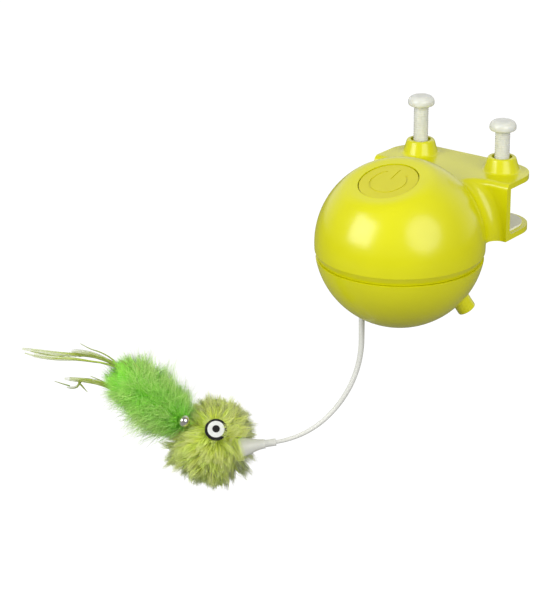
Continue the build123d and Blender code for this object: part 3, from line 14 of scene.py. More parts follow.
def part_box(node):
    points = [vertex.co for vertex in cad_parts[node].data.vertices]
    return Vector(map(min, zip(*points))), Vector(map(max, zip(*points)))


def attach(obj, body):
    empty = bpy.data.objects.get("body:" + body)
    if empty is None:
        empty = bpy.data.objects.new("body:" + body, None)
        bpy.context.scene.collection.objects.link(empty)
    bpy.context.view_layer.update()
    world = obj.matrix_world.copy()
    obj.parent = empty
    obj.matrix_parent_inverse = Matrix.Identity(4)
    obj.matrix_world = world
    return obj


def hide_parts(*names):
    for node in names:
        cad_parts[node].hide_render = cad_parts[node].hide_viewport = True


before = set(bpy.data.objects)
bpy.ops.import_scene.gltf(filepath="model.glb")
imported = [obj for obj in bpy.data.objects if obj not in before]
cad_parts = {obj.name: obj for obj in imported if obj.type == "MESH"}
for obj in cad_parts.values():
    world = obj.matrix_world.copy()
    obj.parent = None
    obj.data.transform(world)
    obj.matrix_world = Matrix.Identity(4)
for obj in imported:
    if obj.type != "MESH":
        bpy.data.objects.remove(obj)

log = logging.getLogger("laser_toy")
MM = 0.001
# a noise texture stays between these nearly everywhere
NOISE_SPAN = (0.3, 0.7)


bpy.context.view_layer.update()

# ---------------------------------------------------------------- places
BALL = Vector((0.0, -55.05, -2.6)) * MM
ARM_HEADING = math.radians(218.0)
ARM_OUT = Vector((math.cos(ARM_HEADING), math.sin(ARM_HEADING), 0.0))
ARM_SIDE = Vector((-math.sin(ARM_HEADING), math.cos(ARM_HEADING), 0.0))
UP = Vector((0.0, 0.0, 1.0))
BELL_LOW, BELL_HIGH = (np.array(corner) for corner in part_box("jingle_bell"))
BELL_AT = (BELL_LOW + BELL_HIGH) / 2
BELL_R = float(BELL_HIGH[2] - BELL_LOW[2]) / 2
BELL_SIGHT = np.array(ARM_SIDE * 0.93 + UP * 0.37) * MM
# room for the bell, then for the sight of it from the front: centres and radii of balls
BELL_ROOM = [(BELL_AT, BELL_R + 0.25 * MM)] + [
    (BELL_AT + BELL_SIGHT * step, BELL_R - 0.3 * MM) for step in (2.5, 5.0, 7.5, 10.0)
]
# the arm's own axes: along its heading, up, and to the front
ARM_AXES = np.array([tuple(ARM_OUT), tuple(UP), tuple(ARM_SIDE)])
# the lure's own axes: along the cup towards the arm, to the front, and up
LURE_AXES = np.array([tuple(-ARM_OUT), tuple(ARM_SIDE), tuple(UP)])


def in_arm(out: float, height: float, side: float = 0.0) -> Vector:
    """Turn a place in the arm's upright plane into a point of the row frame.

    Args:
        out: distance from the ball's axis along the arm's heading, in mm.
        height: height over the ball's centre, in mm.
        side: distance out of the plane towards the front, in mm.

    Returns:
        The point, in metres.
    """
    return BALL + (ARM_OUT * out + UP * height + ARM_SIDE * side) * MM


# ---------------------------------------------------------------- colours and nodes
def linear(code: str) -> tuple[float, float, float, float]:
    """Turn an sRGB hex colour into Blender's linear RGBA.

    Args:
        code: colour as #RRGGBB.

    Returns:
        Red, green, blue and alpha, linear.
    """
    parts = [int(code[i : i + 2], 16) / 255 for i in (1, 3, 5)]
    red, green, blue = (c / 12.92 if c <= 0.04045 else ((c + 0.055) / 1.055) ** 2.4 for c in parts)
    return (red, green, blue, 1.0)


def add_node(
    tree: bpy.types.NodeTree,
    kind: str,
    values: dict | None = None,
    links: dict | None = None,
    **settings: object,
) -> bpy.types.Node:
    """Add one node with its settings, socket values and incoming links.

    Args:
        tree: node tree that gets the node.
        kind: node type, such as ShaderNodeTexNoise.
        values: socket name or number to its value.
        links: socket name or number to the output socket that feeds it.
        **settings: properties of the node itself.

    Returns:
        The new node.
    """
    node = tree.nodes.new(kind)
    for name, value in settings.items():
        setattr(node, name, value)
    for name, value in (values or {}).items():
        node.inputs[name].default_value = value
    for name, source in (links or {}).items():
        tree.links.new(source, node.inputs[name])
    return node


def set_stops(ramp: bpy.types.Node, stops: list[tuple[float, str]]) -> None:
    """Give a colour ramp its stops.

    Args:
        ramp: colour ramp node.
        stops: place and sRGB hex colour of each stop.
    """
    elements = ramp.color_ramp.elements
    while len(elements) < len(stops):
        elements.new(1.0)
    for element, (place, code) in zip(elements, stops):
        element.position = place
        element.color = linear(code)


def add_object(name: str, data: bpy.types.ID) -> bpy.types.Object:
    """Put data into the scene as an object at the origin.

    Args:
        name: name of the object.
        data: its mesh, curve, light or camera.

    Returns:
        The object.
    """
    made = bpy.data.objects.new(name, data)
    bpy.context.collection.objects.link(made)
    return made


@dataclass(frozen=True)
class Finish:
    """What a surface is made of, as one named material."""

    name: str

    def material(self) -> bpy.types.Material:
        """Build the material, or return it if it is there already.

        Returns:
            The material.
        """
        made = bpy.data.materials.get(self.name)
        if made is None:
            made = bpy.data.materials.new(self.name)
            made.use_nodes = True
            self.fill(made.node_tree, made.node_tree.nodes["Principled BSDF"])
        return made

    def fill(self, tree: bpy.types.NodeTree, shader: bpy.types.Node) -> None:
        """Set up the shader, which each kind of finish does in its own way."""
        raise NotImplementedError


@dataclass(frozen=True)
class SolidFinish(Finish):
    """A solid material with a fine surface grain and a slow drift of colour.

    The grain is a noise of the size that the mould or the tool leaves. The drift keeps
    a large face from looking like one flat colour.
    """

    light: str
    dark: str
    roughness: float = 0.35
    metallic: float = 0.0
    ior: float = 1.5
    grain_mm: float = 0.5
    grain_depth_mm: float = 0.004
    drift_mm: float = 18.0
    rough_drift: float = 0.05
    wipe_mm: float = 6.0
    subsurface: float = 0.0
    subsurface_mm: float = 1.0
    coat: float = 0.0
    transmission: float = 0.0

    def fill(self, tree: bpy.types.NodeTree, shader: bpy.types.Node) -> None:
        """Set the even values, then feed colour, roughness and bump.

        Args:
            tree: the material's nodes.
            shader: its shader.
        """
        place = add_node(tree, "ShaderNodeTexCoord").outputs["Object"]
        even = {
            "Metallic": self.metallic,
            "IOR": self.ior,
            "Transmission Weight": self.transmission,
            "Coat Weight": self.coat,
        }
        if self.subsurface:
            even["Subsurface Weight"] = self.subsurface
            even["Subsurface Radius"] = (1.0, 0.95, 0.85)
            even["Subsurface Scale"] = self.subsurface_mm * MM
        for socket, value in even.items():
            shader.inputs[socket].default_value = value
        self.colour(tree, shader, place)
        self.surface(tree, shader, place)

    def colour(self, tree: bpy.types.NodeTree, shader: bpy.types.Node, place: bpy.types.NodeSocket) -> None:
        """Feed the base colour: two close tones that drift into each other.

        Args:
            tree: the material's nodes.
            shader: its shader.
            place: the surface's own coordinates.
        """
        drift = add_node(
            tree, "ShaderNodeTexNoise", {"Scale": 1 / (self.drift_mm * MM), "Detail": 3.0}, {"Vector": place}
        )
        ramp = add_node(tree, "ShaderNodeValToRGB", links={"Fac": drift.outputs["Fac"]})
        set_stops(ramp, list(zip(NOISE_SPAN, (self.dark, self.light))))
        tree.links.new(ramp.outputs["Color"], shader.inputs["Base Color"])

    def surface(self, tree: bpy.types.NodeTree, shader: bpy.types.Node, place: bpy.types.NodeSocket) -> None:
        """Feed roughness and bump from a fine grain.

        Args:
            tree: the material's nodes.
            shader: its shader.
            place: the surface's own coordinates.
        """
        grain = add_node(
            tree, "ShaderNodeTexNoise", {"Scale": 1 / (self.grain_mm * MM), "Detail": 2.0}, {"Vector": place}
        )
        wipe = add_node(
            tree,
            "ShaderNodeTexNoise",
            {"Scale": 1 / (self.wipe_mm * MM), "Detail": 4.0, "Roughness": 0.65},
            {"Vector": place},
        )
        rough = add_node(
            tree,
            "ShaderNodeMapRange",
            {
                "From Min": NOISE_SPAN[0],
                "From Max": NOISE_SPAN[1],
                "To Min": max(self.roughness - self.rough_drift, 0.02),
                "To Max": self.roughness + self.rough_drift,
            },
            {"Value": wipe.outputs["Fac"]},
        )
        bump = add_node(
            tree,
            "ShaderNodeBump",
            {"Strength": 1.0, "Distance": self.grain_depth_mm * MM},
            {"Height": grain.outputs["Fac"]},
        )
        tree.links.new(rough.outputs["Result"], shader.inputs["Roughness"])
        tree.links.new(bump.outputs["Normal"], shader.inputs["Normal"])


@dataclass(frozen=True)
class BandedFinish(SolidFinish):
    """A finish whose bump runs in rings round one axis, as turned, wound or threaded parts have."""

    axis_at: tuple[float, float, float] = (0.0, 0.0, 0.0)
    axis_to: tuple[float, float, float] = (0.0, 0.0, 1.0)
    pitch_mm: float = 0.5
    band_depth_mm: float = 0.05

    def surface(self, tree: bpy.types.NodeTree, shader: bpy.types.Node, place: bpy.types.NodeSocket) -> None:
        """Feed roughness and a bump of rings along the axis.

        Args:
            tree: the material's nodes.
            shader: its shader.
            place: the surface's own coordinates.
        """
        turn = Vector(self.axis_to).rotation_difference(Vector((1.0, 0.0, 0.0))).to_euler()
        centred = add_node(
            tree, "ShaderNodeMapping", {"Location": tuple(-x for x in self.axis_at)}, {"Vector": place}
        )
        along = add_node(
            tree, "ShaderNodeMapping", {"Rotation": tuple(turn)}, {"Vector": centred.outputs["Vector"]}
        )
        rings = add_node(
            tree,
            "ShaderNodeTexWave",
            # a wave texture of scale 1 has a band every pi / 10 units
            {"Scale": math.pi / 10 / (self.pitch_mm * MM), "Distortion": 0.3, "Detail": 1.0},
            {"Vector": along.outputs["Vector"]},
            wave_type="BANDS",
            bands_direction="X",
        )
        bump = add_node(
            tree,
            "ShaderNodeBump",
            {"Strength": 1.0, "Distance": self.band_depth_mm * MM},
            {"Height": rings.outputs["Fac"]},
        )
        shader.inputs["Roughness"].default_value = self.roughness
        tree.links.new(bump.outputs["Normal"], shader.inputs["Normal"])


@dataclass(frozen=True)
class MilkyShankFinish(SolidFinish):
    """A finish for cloudy screws, whose threads blur because the light comes from inside them.

    The shading of a shank leans towards that of a plain rod; its shape stays threaded.

    Attributes:
        axis_x, axis_y: where the two upright axes stand, in mm, mirrored left and right.
        shank_r, edge: radius of a shank and the width over which the leaning ends, in mm.
        crown: how steeply a face looks up where the leaning fades and ends.
        blur: how far the shading leans towards the rod's.
    """

    axis_x: float = 26.0
    axis_y: float = 1.75
    shank_r: float = 4.1
    edge: float = 0.4
    crown: tuple[float, float] = (0.75, 0.88)
    blur: float = 0.7

    def surface(self, tree: bpy.types.NodeTree, shader: bpy.types.Node, place: bpy.types.NodeSocket) -> None:
        """Feed the plain grain, then turn the shanks' normals towards a rod's.

        Args:
            tree: the material's nodes.
            shader: its shader.
            place: the surface's own coordinates.
        """
        super().surface(tree, shader, place)
        grain = shader.inputs["Normal"].links[0].from_socket
        x, y, _ = add_node(tree, "ShaderNodeSeparateXYZ", links={0: place}).outputs
        size, sign = (
            add_node(tree, "ShaderNodeMath", links={0: x}, operation=kind).outputs[0]
            for kind in ("ABSOLUTE", "SIGN")
        )
        beyond, deep = (
            add_node(tree, "ShaderNodeMath", {1: axis * MM}, {0: off}, operation="SUBTRACT").outputs[0]
            for axis, off in ((self.axis_x, size), (self.axis_y, y))
        )
        across = add_node(tree, "ShaderNodeMath", links={0: beyond, 1: sign}, operation="MULTIPLY").outputs[0]
        out = add_node(tree, "ShaderNodeCombineXYZ", links={0: across, 1: deep}).outputs[0]
        reach = add_node(tree, "ShaderNodeVectorMath", links={0: out}, operation="LENGTH").outputs["Value"]
        into_world = {"vector_type": "NORMAL", "convert_from": "OBJECT", "convert_to": "WORLD"}
        rod = add_node(tree, "ShaderNodeVectorTransform", links={0: out}, **into_world).outputs[0]
        # a head is wider than a shank, its crown faces up, and it keeps its own shading
        facing = add_node(tree, "ShaderNodeNewGeometry").outputs["Normal"]
        upward = add_node(tree, "ShaderNodeSeparateXYZ", links={0: facing}).outputs[2]
        steep = add_node(tree, "ShaderNodeMath", links={0: upward}, operation="ABSOLUTE").outputs[0]
        shank, upright = (
            add_node(
                tree,
                "ShaderNodeMapRange",
                {"From Min": low, "From Max": high, "To Min": full, "To Max": 0.0},
                {"Value": source},
            ).outputs[0]
            for source, low, high, full in (
                (reach, self.shank_r * MM, (self.shank_r + self.edge) * MM, self.blur),
                (steep, *self.crown, 1.0),
            )
        )
        share = add_node(tree, "ShaderNodeMath", links={0: shank, 1: upright}, operation="MULTIPLY")
        mixed = add_node(
            tree, "ShaderNodeMix", links={"Factor": share.outputs[0], 4: grain, 5: rod}, data_type="VECTOR"
        )
        even = add_node(
            tree, "ShaderNodeVectorMath", links={0: mixed.outputs[1]}, operation="NORMALIZE"
        ).outputs[0]
        tree.links.new(even, shader.inputs["Normal"])


@dataclass(frozen=True)
class FibreFinish(Finish):
    """Dyed fibre, each a little different, with painted shade darkening its root and a painted glow of light
    paling its tip.

    It reads two attributes of the mesh: "along", 0 at the root and 1 at the tip, and
    "tone", one number for each fibre, which mixes in the other colour from 0.35 up.
    """

    root: str
    middle: str
    tip: str
    other: str
    roughness: float = 0.55
    sheen: float = 0.3

    def fill(self, tree: bpy.types.NodeTree, shader: bpy.types.Node) -> None:
        """Set gloss and sheen, and feed the colour along each fibre.

        Args:
            tree: the material's nodes.
            shader: its shader.
        """
        shader.inputs["Roughness"].default_value = self.roughness
        shader.inputs["Sheen Weight"].default_value = self.sheen
        shader.inputs["Sheen Roughness"].default_value = 0.4
        along = add_node(tree, "ShaderNodeAttribute", attribute_name="along")
        tone = add_node(tree, "ShaderNodeAttribute", attribute_name="tone")
        # the ramp from root to tip paints shade at the root and a glow of light at the tip
        ramp = add_node(tree, "ShaderNodeValToRGB", links={"Fac": along.outputs["Fac"]})
        set_stops(ramp, [(0.0, self.root), (0.5, self.middle), (1.0, self.tip)])
        share = add_node(
            tree,
            "ShaderNodeMapRange",
            {"From Min": 0.35, "From Max": 1.0, "To Min": 0.0, "To Max": 0.8},
            {"Value": tone.outputs["Fac"]},
        )
        mixed = add_node(
            tree,
            "ShaderNodeMix",
            {"B": linear(self.other)},
            {"A": ramp.outputs["Color"], "Factor": share.outputs["Result"]},
            data_type="RGBA",
        )
        tree.links.new(mixed.outputs["Result"], shader.inputs["Base Color"])


# ---------------------------------------------------------------- finishes
# ABS from a polished steel mould: saturated lime yellow, wet gloss, faint long-wave ripple
SHELL_ABS = SolidFinish(
    "moulded_abs_lime", "#DEDC0C", "#D8D608", roughness=0.23, ior=1.53, grain_mm=2.4,
    grain_depth_mm=0.004, drift_mm=34.0, rough_drift=0.03,
)
# the same ABS from a spark-eroded mould: duller, with a fine even grain
BUTTON_ABS = SolidFinish(
    "textured_abs_lime", "#D8D228", "#D2CC24", roughness=0.46, ior=1.53, grain_mm=0.35,
    grain_depth_mm=0.012,
)
# turned and threaded nylon: milky, lets some light through
NYLON = MilkyShankFinish(
    "milky_nylon", "#E3E4DB", "#DBDCD2", roughness=0.22, ior=1.45, grain_mm=2.0, grain_depth_mm=0.002,
    drift_mm=6.0, rough_drift=0.02, subsurface=0.9, subsurface_mm=3.0,
)
# closed-cell foam rubber: pale grey, painted lighter to stand in for light under the jaw, matt, finely pitted
PAD_RUBBER = SolidFinish(
    "grey_foam_rubber", "#F2F1E4", "#EAE9DB", roughness=0.8, ior=1.5, grain_mm=0.6, grain_depth_mm=0.05,
    drift_mm=9.0,
)
# soft thermoplastic of the screws' feet
FOOT_RUBBER = SolidFinish(
    "soft_white_elastomer", "#DADACB", "#CFCFBF", roughness=0.6, grain_mm=0.4, grain_depth_mm=0.01,
)
# unpainted ABS inside the housing
INNER_BLACK = SolidFinish(
    "moulded_abs_black", "#232323", "#1B1B1B", roughness=0.42, grain_mm=0.5, grain_depth_mm=0.01,
)
INNER_WHITE = SolidFinish(
    "moulded_abs_white", "#EDEDE6", "#E3E3DC", roughness=0.38, grain_mm=0.6, grain_depth_mm=0.006,
)
# glass-fibre board under green lacquer: glossy with the weave just showing
BOARD = SolidFinish(
    "lacquered_glass_fibre_board", "#1F6B3A", "#185A30", roughness=0.3, grain_mm=0.7,
    grain_depth_mm=0.01, coat=0.4,
)
# zinc-plated steel screws: bright grey with a slight bloom
STEEL = SolidFinish(
    "zinc_plated_steel", "#C9CACB", "#AFB1B4", roughness=0.3, metallic=1.0, grain_mm=0.3,
    grain_depth_mm=0.003, drift_mm=2.0,
)
# nickel-plated spring sheet of the battery contacts
CONTACT = SolidFinish(
    "nickel_plated_spring_sheet", "#D6D2C6", "#C6C1B3", roughness=0.22, metallic=1.0, grain_mm=0.4,
    grain_depth_mm=0.002, drift_mm=3.0,
)
# sintered bronze and brass, drawn and turned
BRASS = SolidFinish(
    "turned_brass", "#D9B45E", "#C39C48", roughness=0.28, metallic=1.0, grain_mm=0.25,
    grain_depth_mm=0.003, drift_mm=3.0,
)
# shrink-wrapped cell jackets, plain dark green
CELL_JACKET = SolidFinish(
    "shrink_wrapped_cell_jacket", "#2E5C45", "#264E3A", roughness=0.25, grain_mm=3.0,
    grain_depth_mm=0.02, coat=0.5,
)
# acetal gears: bone white and slightly waxy
ACETAL = SolidFinish(
    "moulded_acetal", "#E9E6D8", "#DDD9CA", roughness=0.33, grain_mm=0.5, grain_depth_mm=0.004,
    subsurface=0.15,
)
# rolled and deep-drawn motor can
MOTOR_CAN = SolidFinish(
    "drawn_steel_can", "#B9BBBD", "#A3A6A9", roughness=0.34, metallic=1.0, grain_mm=0.3,
    grain_depth_mm=0.004, drift_mm=4.0,
)
# clear acrylic lens
LENS = SolidFinish(
    "clear_acrylic_lens", "#F4F4F4", "#EFEFEF", roughness=0.05, ior=1.49, grain_depth_mm=0.0,
    rough_drift=0.01, transmission=1.0,
)
# extruded flexible PVC rod: white, a soft satin line of light
ARM_PVC = SolidFinish(
    "extruded_white_pvc", "#E9E9E3", "#E1E1DA", roughness=0.34, grain_mm=3.0, grain_depth_mm=0.003,
    drift_mm=20.0, rough_drift=0.02,
)
# moulded polypropylene cup: white, slightly cloudy
CUP_PP = SolidFinish(
    "moulded_polypropylene_white", "#F2F2EA", "#E8E8DF", roughness=0.36, grain_mm=0.8,
    grain_depth_mm=0.006, drift_mm=7.0, subsurface=0.3, subsurface_mm=1.5,
)
# wool felt, die-cut: black and white, with loose hairs and no gloss
FELT_BLACK = SolidFinish(
    "pressed_felt_black", "#1B1B1A", "#121211", roughness=0.95, grain_mm=0.35, grain_depth_mm=0.16,
    drift_mm=2.0,
)
FELT_WHITE = SolidFinish(
    "pressed_felt_white", "#E6E8E4", "#D8DAD6", roughness=0.95, grain_mm=0.35, grain_depth_mm=0.16,
    drift_mm=2.0,
)
# pressed and nickel-plated bell: mirror bright with tiny scuffs
BELL_NICKEL = SolidFinish(
    "polished_nickel_plate", "#E3E0DA", "#D3D0CA", roughness=0.09, metallic=1.0, grain_mm=0.8,
    grain_depth_mm=0.002, drift_mm=1.5, rough_drift=0.05,
)
# backing of the pile, seen only between the fibres
PLUSH_BACKING = SolidFinish(
    "knitted_pile_backing", "#CBEA40", "#BCDC38", roughness=0.95, grain_mm=0.8, grain_depth_mm=0.2,
    drift_mm=6.0,
)
# dyed acrylic long pile: yellow-green, with painted shade darkening it at the root and a painted glow of
# light paling the tips
PLUSH_PILE = FibreFinish("acrylic_long_pile", "#DAF248", "#EBFA55", "#F4FAA0", "#D4F74E", sheen=0.7)
# turkey down, dyed bright green, with painted shade at the roots and a painted glow of light making single
# barbs nearly white at the tips
DOWN = FibreFinish("dyed_turkey_down", "#56F20C", "#7CFA1C", "#B2FB50", "#E6FCA4", sheen=0.15)
# long dyed barbs: olive-lime, a little glossy
BARBS = FibreFinish("dyed_ostrich_barbs", "#98D238", "#B8CB4C", "#C2D06A", "#7F8E38", roughness=0.5)
# waxed thread wound round the feathers' roots
THREAD = BandedFinish(
    "waxed_binding_thread", "#7FB53A", "#6BA02C", roughness=0.6, axis_at=tuple(in_arm(114.0, -105.0)),
    axis_to=tuple(ARM_OUT * 0.758 + UP * 0.652), pitch_mm=0.45, band_depth_mm=0.12, drift_mm=2.0,
)


def dress(finish: Finish, *nodes: str) -> None:
    """Put a finish on CAD nodes.

    Args:
        finish: what the surface is made of.
        *nodes: names of the CAD nodes.
    """
    material = finish.material()
    for name in nodes:
        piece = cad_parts[name]
        if not piece.material_slots:
            piece.data.materials.append(material)
        for slot in piece.material_slots:
            slot.material = material
        log.info("dressed %s in %s", name, finish.name)


# ---------------------------------------------------------------- housing and drive
@dataclass(frozen=True)
class Housing:
    """The fixed half: shell with its clamp, pad, screws, button and what they hold."""

    def dress(self) -> None:
        """Give every part of the fixed half its finish."""
        dress(SHELL_ABS, "upper_shell", "battery_door")
        dress(BUTTON_ABS, "power_button")
        dress(PAD_RUBBER, "jaw_pad")
        dress(NYLON, "left_clamp_screw", "right_clamp_screw")
        dress(FOOT_RUBBER, "left_screw_tip", "right_screw_tip")
        dress(INNER_BLACK, "switch_body", "board_parts", "battery_box", "gearbox_cover")
        dress(INNER_WHITE, "switch_plunger", "chassis_plate")
        dress(BOARD, "circuit_board")
        dress(STEEL, "board_screws", "battery_box_screws", "door_screw", "housing_screws", "gearbox_screws")
        dress(CONTACT, "door_contact", "door_spring", "box_spring", "box_contacts", "contact_fingers")
        dress(CELL_JACKET, "battery_cells")


@dataclass(frozen=True)
class Drive:
    """Motor, gear train and the bush that carries the turning half."""

    def dress(self) -> None:
        """Give the drive its finishes."""
        dress(ACETAL, "output_gear", "second_gear", "first_gear", "motor_pinion")
        dress(STEEL, "gear_axles", "motor_shaft")
        dress(BRASS, "shaft_bush")
        dress(MOTOR_CAN, "motor")


@dataclass(frozen=True)
class TurningHalf:
    """The turning shell with its carrier, laser and arm socket."""

    def dress(self) -> None:
        """Give the turning half its finishes."""
        dress(SHELL_ABS, "lower_shell")
        dress(INNER_BLACK, "rotor_plate", "arm_retainer")
        dress(BRASS, "slip_rings", "laser_module")
        dress(STEEL, "rotor_screws", "hub_screw")
        dress(LENS, "laser_lens")
        dress(ARM_PVC, "swing_arm", "arm_ferrule")
        dress(CUP_PP, "plush_cup")
        dress(BELL_NICKEL, "jingle_bell")
        dress(STEEL, "bell_pea")
        dress(THREAD, "feather_binding")
        dress(FELT_BLACK, "eye_patches", "eye_pupils")
        dress(FELT_WHITE, "eye_whites")


# ---------------------------------------------------------------- fibres
# thinnest and thickest fibre of a coat, against its usual radius
THICKNESSES = (0.7, 1.3)


def mesh_of(curve: bpy.types.Curve, name: str) -> bpy.types.Mesh:
    """Turn a curve into a mesh and remove the curve.

    Args:
        curve: the curve's data.
        name: name of the mesh.

    Returns:
        The mesh.
    """
    holder = add_object(name + "_line", curve)
    graph = bpy.context.evaluated_depsgraph_get()
    mesh = bpy.data.meshes.new_from_object(holder.evaluated_get(graph))
    mesh.name = name
    bpy.data.objects.remove(holder)
    bpy.data.curves.remove(curve)
    return mesh


@dataclass
class Coat:
    """A coat of fibres, each a tapered tube along its own line.

    Attributes:
        name: name of the finished piece.
        lines: points of every fibre, root first, in metres, as fibre x point x 3.
        radii: radius at every point, in metres, as fibre x point.
        tone: one number from 0 to 1 for each fibre.
        outward: the way out of the coat at every point, or None for loose strands.
        sides: sides of each tube.
        roundness: how much a tube's own roundness counts in its shading, against outward.
    """

    name: str
    lines: np.ndarray
    radii: np.ndarray
    tone: np.ndarray
    outward: np.ndarray | None = None
    sides: int = 3
    roundness: float = 0.8

    def pick(self, name: str, chosen: np.ndarray | slice) -> "Coat":
        """Return a coat of some of the fibres.

        Args:
            name: name of the new coat.
            chosen: which fibres.

        Returns:
            The new coat.
        """
        return Coat(name, self.lines[chosen], self.radii[chosen], self.tone[chosen], self.outward[chosen])

    def clear_of_bell(self) -> "Coat":
        """Leave out the fibres that would pass through the bell or hide it from the front.

        Returns:
            The coat without them.
        """
        start, run = self.lines[:, :-1], np.diff(self.lines, axis=1)
        keep = np.ones(len(self.lines), dtype=bool)
        for centre, radius in BELL_ROOM:
            share = np.sum((centre - start) * run, axis=-1) / np.maximum(np.sum(run**2, axis=-1), 1e-12)
            nearest = start + np.clip(share, 0.0, 1.0)[..., None] * run
            keep &= np.linalg.norm(nearest - centre, axis=-1).min(axis=1) > radius
        return self.pick(self.name, keep)

    def split(self, parts: int) -> list["Coat"]:
        """Deal the fibres out over several pieces, numbered from 1.

        Args:
            parts: how many pieces.

        Returns:
            One coat for each piece.
        """
        return [self.pick(f"{self.name}_{part + 1}", slice(part, None, parts)) for part in range(parts)]

    def tilts(self) -> np.ndarray:
        """Work out how far each point's section turns so that one side faces outwards.

        Returns:
            The turns, in radians, as fibre x point.
        """
        along = unit(np.gradient(self.lines, axis=1))
        level = unit(np.array([0.0, 0.0, 1.0]) - along[..., 2:] * along)
        facing = unit(self.outward - np.sum(self.outward * along, axis=-1, keepdims=True) * along)
        turn = np.arctan2(np.sum(facing * np.cross(along, level), axis=-1), np.sum(facing * level, axis=-1))
        return np.unwrap(turn, axis=1)

    def face(self, mesh: bpy.types.Mesh) -> None:
        """Turn the fibres' normals halfway outwards, so that light lies evenly over the coat.

        Args:
            mesh: the swept fibres.
        """
        place = np.empty((len(mesh.vertices), 3), dtype=np.float32)
        mesh.vertices.foreach_get("co", place.ravel())
        round_off = unit(place - np.repeat(self.lines.reshape(-1, 3), self.sides, axis=0))
        first = np.empty(len(mesh.polygons), dtype=np.int32)
        mesh.polygons.foreach_get("loop_start", first)
        corner = np.empty(len(mesh.loops), dtype=np.int32)
        mesh.loops.foreach_get("vertex_index", corner)
        facing = np.empty((len(mesh.polygons), 3), dtype=np.float32)
        mesh.polygons.foreach_get("normal", facing.ravel())
        if np.mean(np.sum(facing * round_off[corner[first]], axis=1)) < 0:
            mesh.flip_normals()
        outward = np.repeat(self.outward.reshape(-1, 3), self.sides, axis=0)
        mesh.normals_split_custom_set_from_vertices(unit(outward + self.roundness * round_off).tolist())

    def section(self) -> bpy.types.Object:
        """Make the small outline that is swept along every fibre.

        Returns:
            Its object, 1 mm in radius.
        """
        outline = bpy.data.curves.new(self.name + "_section", "CURVE")
        ring = outline.splines.new("POLY")
        ring.points.add(self.sides - 1)
        for index, point in enumerate(ring.points):
            turn = 2 * math.pi * index / self.sides
            point.co = (MM * math.cos(turn), MM * math.sin(turn), 0.0, 1.0)
        ring.use_cyclic_u = True
        return add_object(self.name + "_section", outline)

    def build(self, finish: FibreFinish) -> bpy.types.Object:
        """Sweep the fibres and dress them.

        Args:
            finish: the fibres' finish.

        Returns:
            The finished object, at the origin.
        """
        count, steps, _ = self.lines.shape
        section = self.section()
        curve = bpy.data.curves.new(self.name, "CURVE")
        curve.dimensions = "3D"
        curve.bevel_mode = "OBJECT"
        curve.bevel_object = section
        curve.twist_mode = "Z_UP"
        points = np.ones((count, steps, 4), dtype=np.float32)
        points[:, :, :3] = self.lines
        wide = (self.radii / MM).astype(np.float32)
        tilt = np.zeros((count, steps)) if self.outward is None else self.tilts()
        for line, radius, turn in zip(points, wide, tilt.astype(np.float32)):
            spline = curve.splines.new("POLY")
            spline.points.add(steps - 1)
            spline.points.foreach_set("co", line.ravel())
            spline.points.foreach_set("radius", radius)
            spline.points.foreach_set("tilt", turn)
        mesh = mesh_of(curve, self.name)
        outline = section.data
        bpy.data.objects.remove(section)
        bpy.data.curves.remove(outline)
        along = np.tile(np.repeat(np.linspace(0.0, 1.0, steps), self.sides), count)
        tone = np.repeat(self.tone, steps * self.sides)
        for label, numbers in (("along", along), ("tone", tone)):
            values = mesh.attributes.new(label, "FLOAT", "POINT").data
            values.foreach_set("value", numbers.astype(np.float32))
        mesh.materials.clear()
        mesh.materials.append(finish.material())
        mesh.shade_smooth()
        if self.outward is not None:
            self.face(mesh)
        log.info("%s: %d fibres, %d faces", self.name, count, len(mesh.polygons))
        return add_object(self.name, mesh)


def unit(rows: np.ndarray) -> np.ndarray:
    """Scale each row to length 1."""
    return rows / np.maximum(np.linalg.norm(rows, axis=-1, keepdims=True), 1e-12)


def even_directions(count: int, chance: np.random.Generator, jitter: float = 0.5) -> np.ndarray:
    """Spread directions evenly over a ball, each a little off its place.

    Args:
        count: how many.
        chance: source of the small shifts.
        jitter: size of the shifts, in spacings.

    Returns:
        Unit vectors, one in each row.
    """
    index = np.arange(count) + 0.5
    height = 1 - 2 * index / count
    turn = np.pi * (1 + 5**0.5) * index
    ring = np.sqrt(1 - height**2)
    rows = np.stack([ring * np.cos(turn), ring * np.sin(turn), height], axis=1)
    return unit(rows + chance.normal(size=rows.shape) * jitter * (4 * np.pi / count) ** 0.5)


def smooth_step(values: np.ndarray, low: float, high: float) -> np.ndarray:
    """Go from 0 at low to 1 at high with no corner."""
    part = np.clip((values - low) / (high - low), 0.0, 1.0)
    return part * part * (3 - 2 * part)


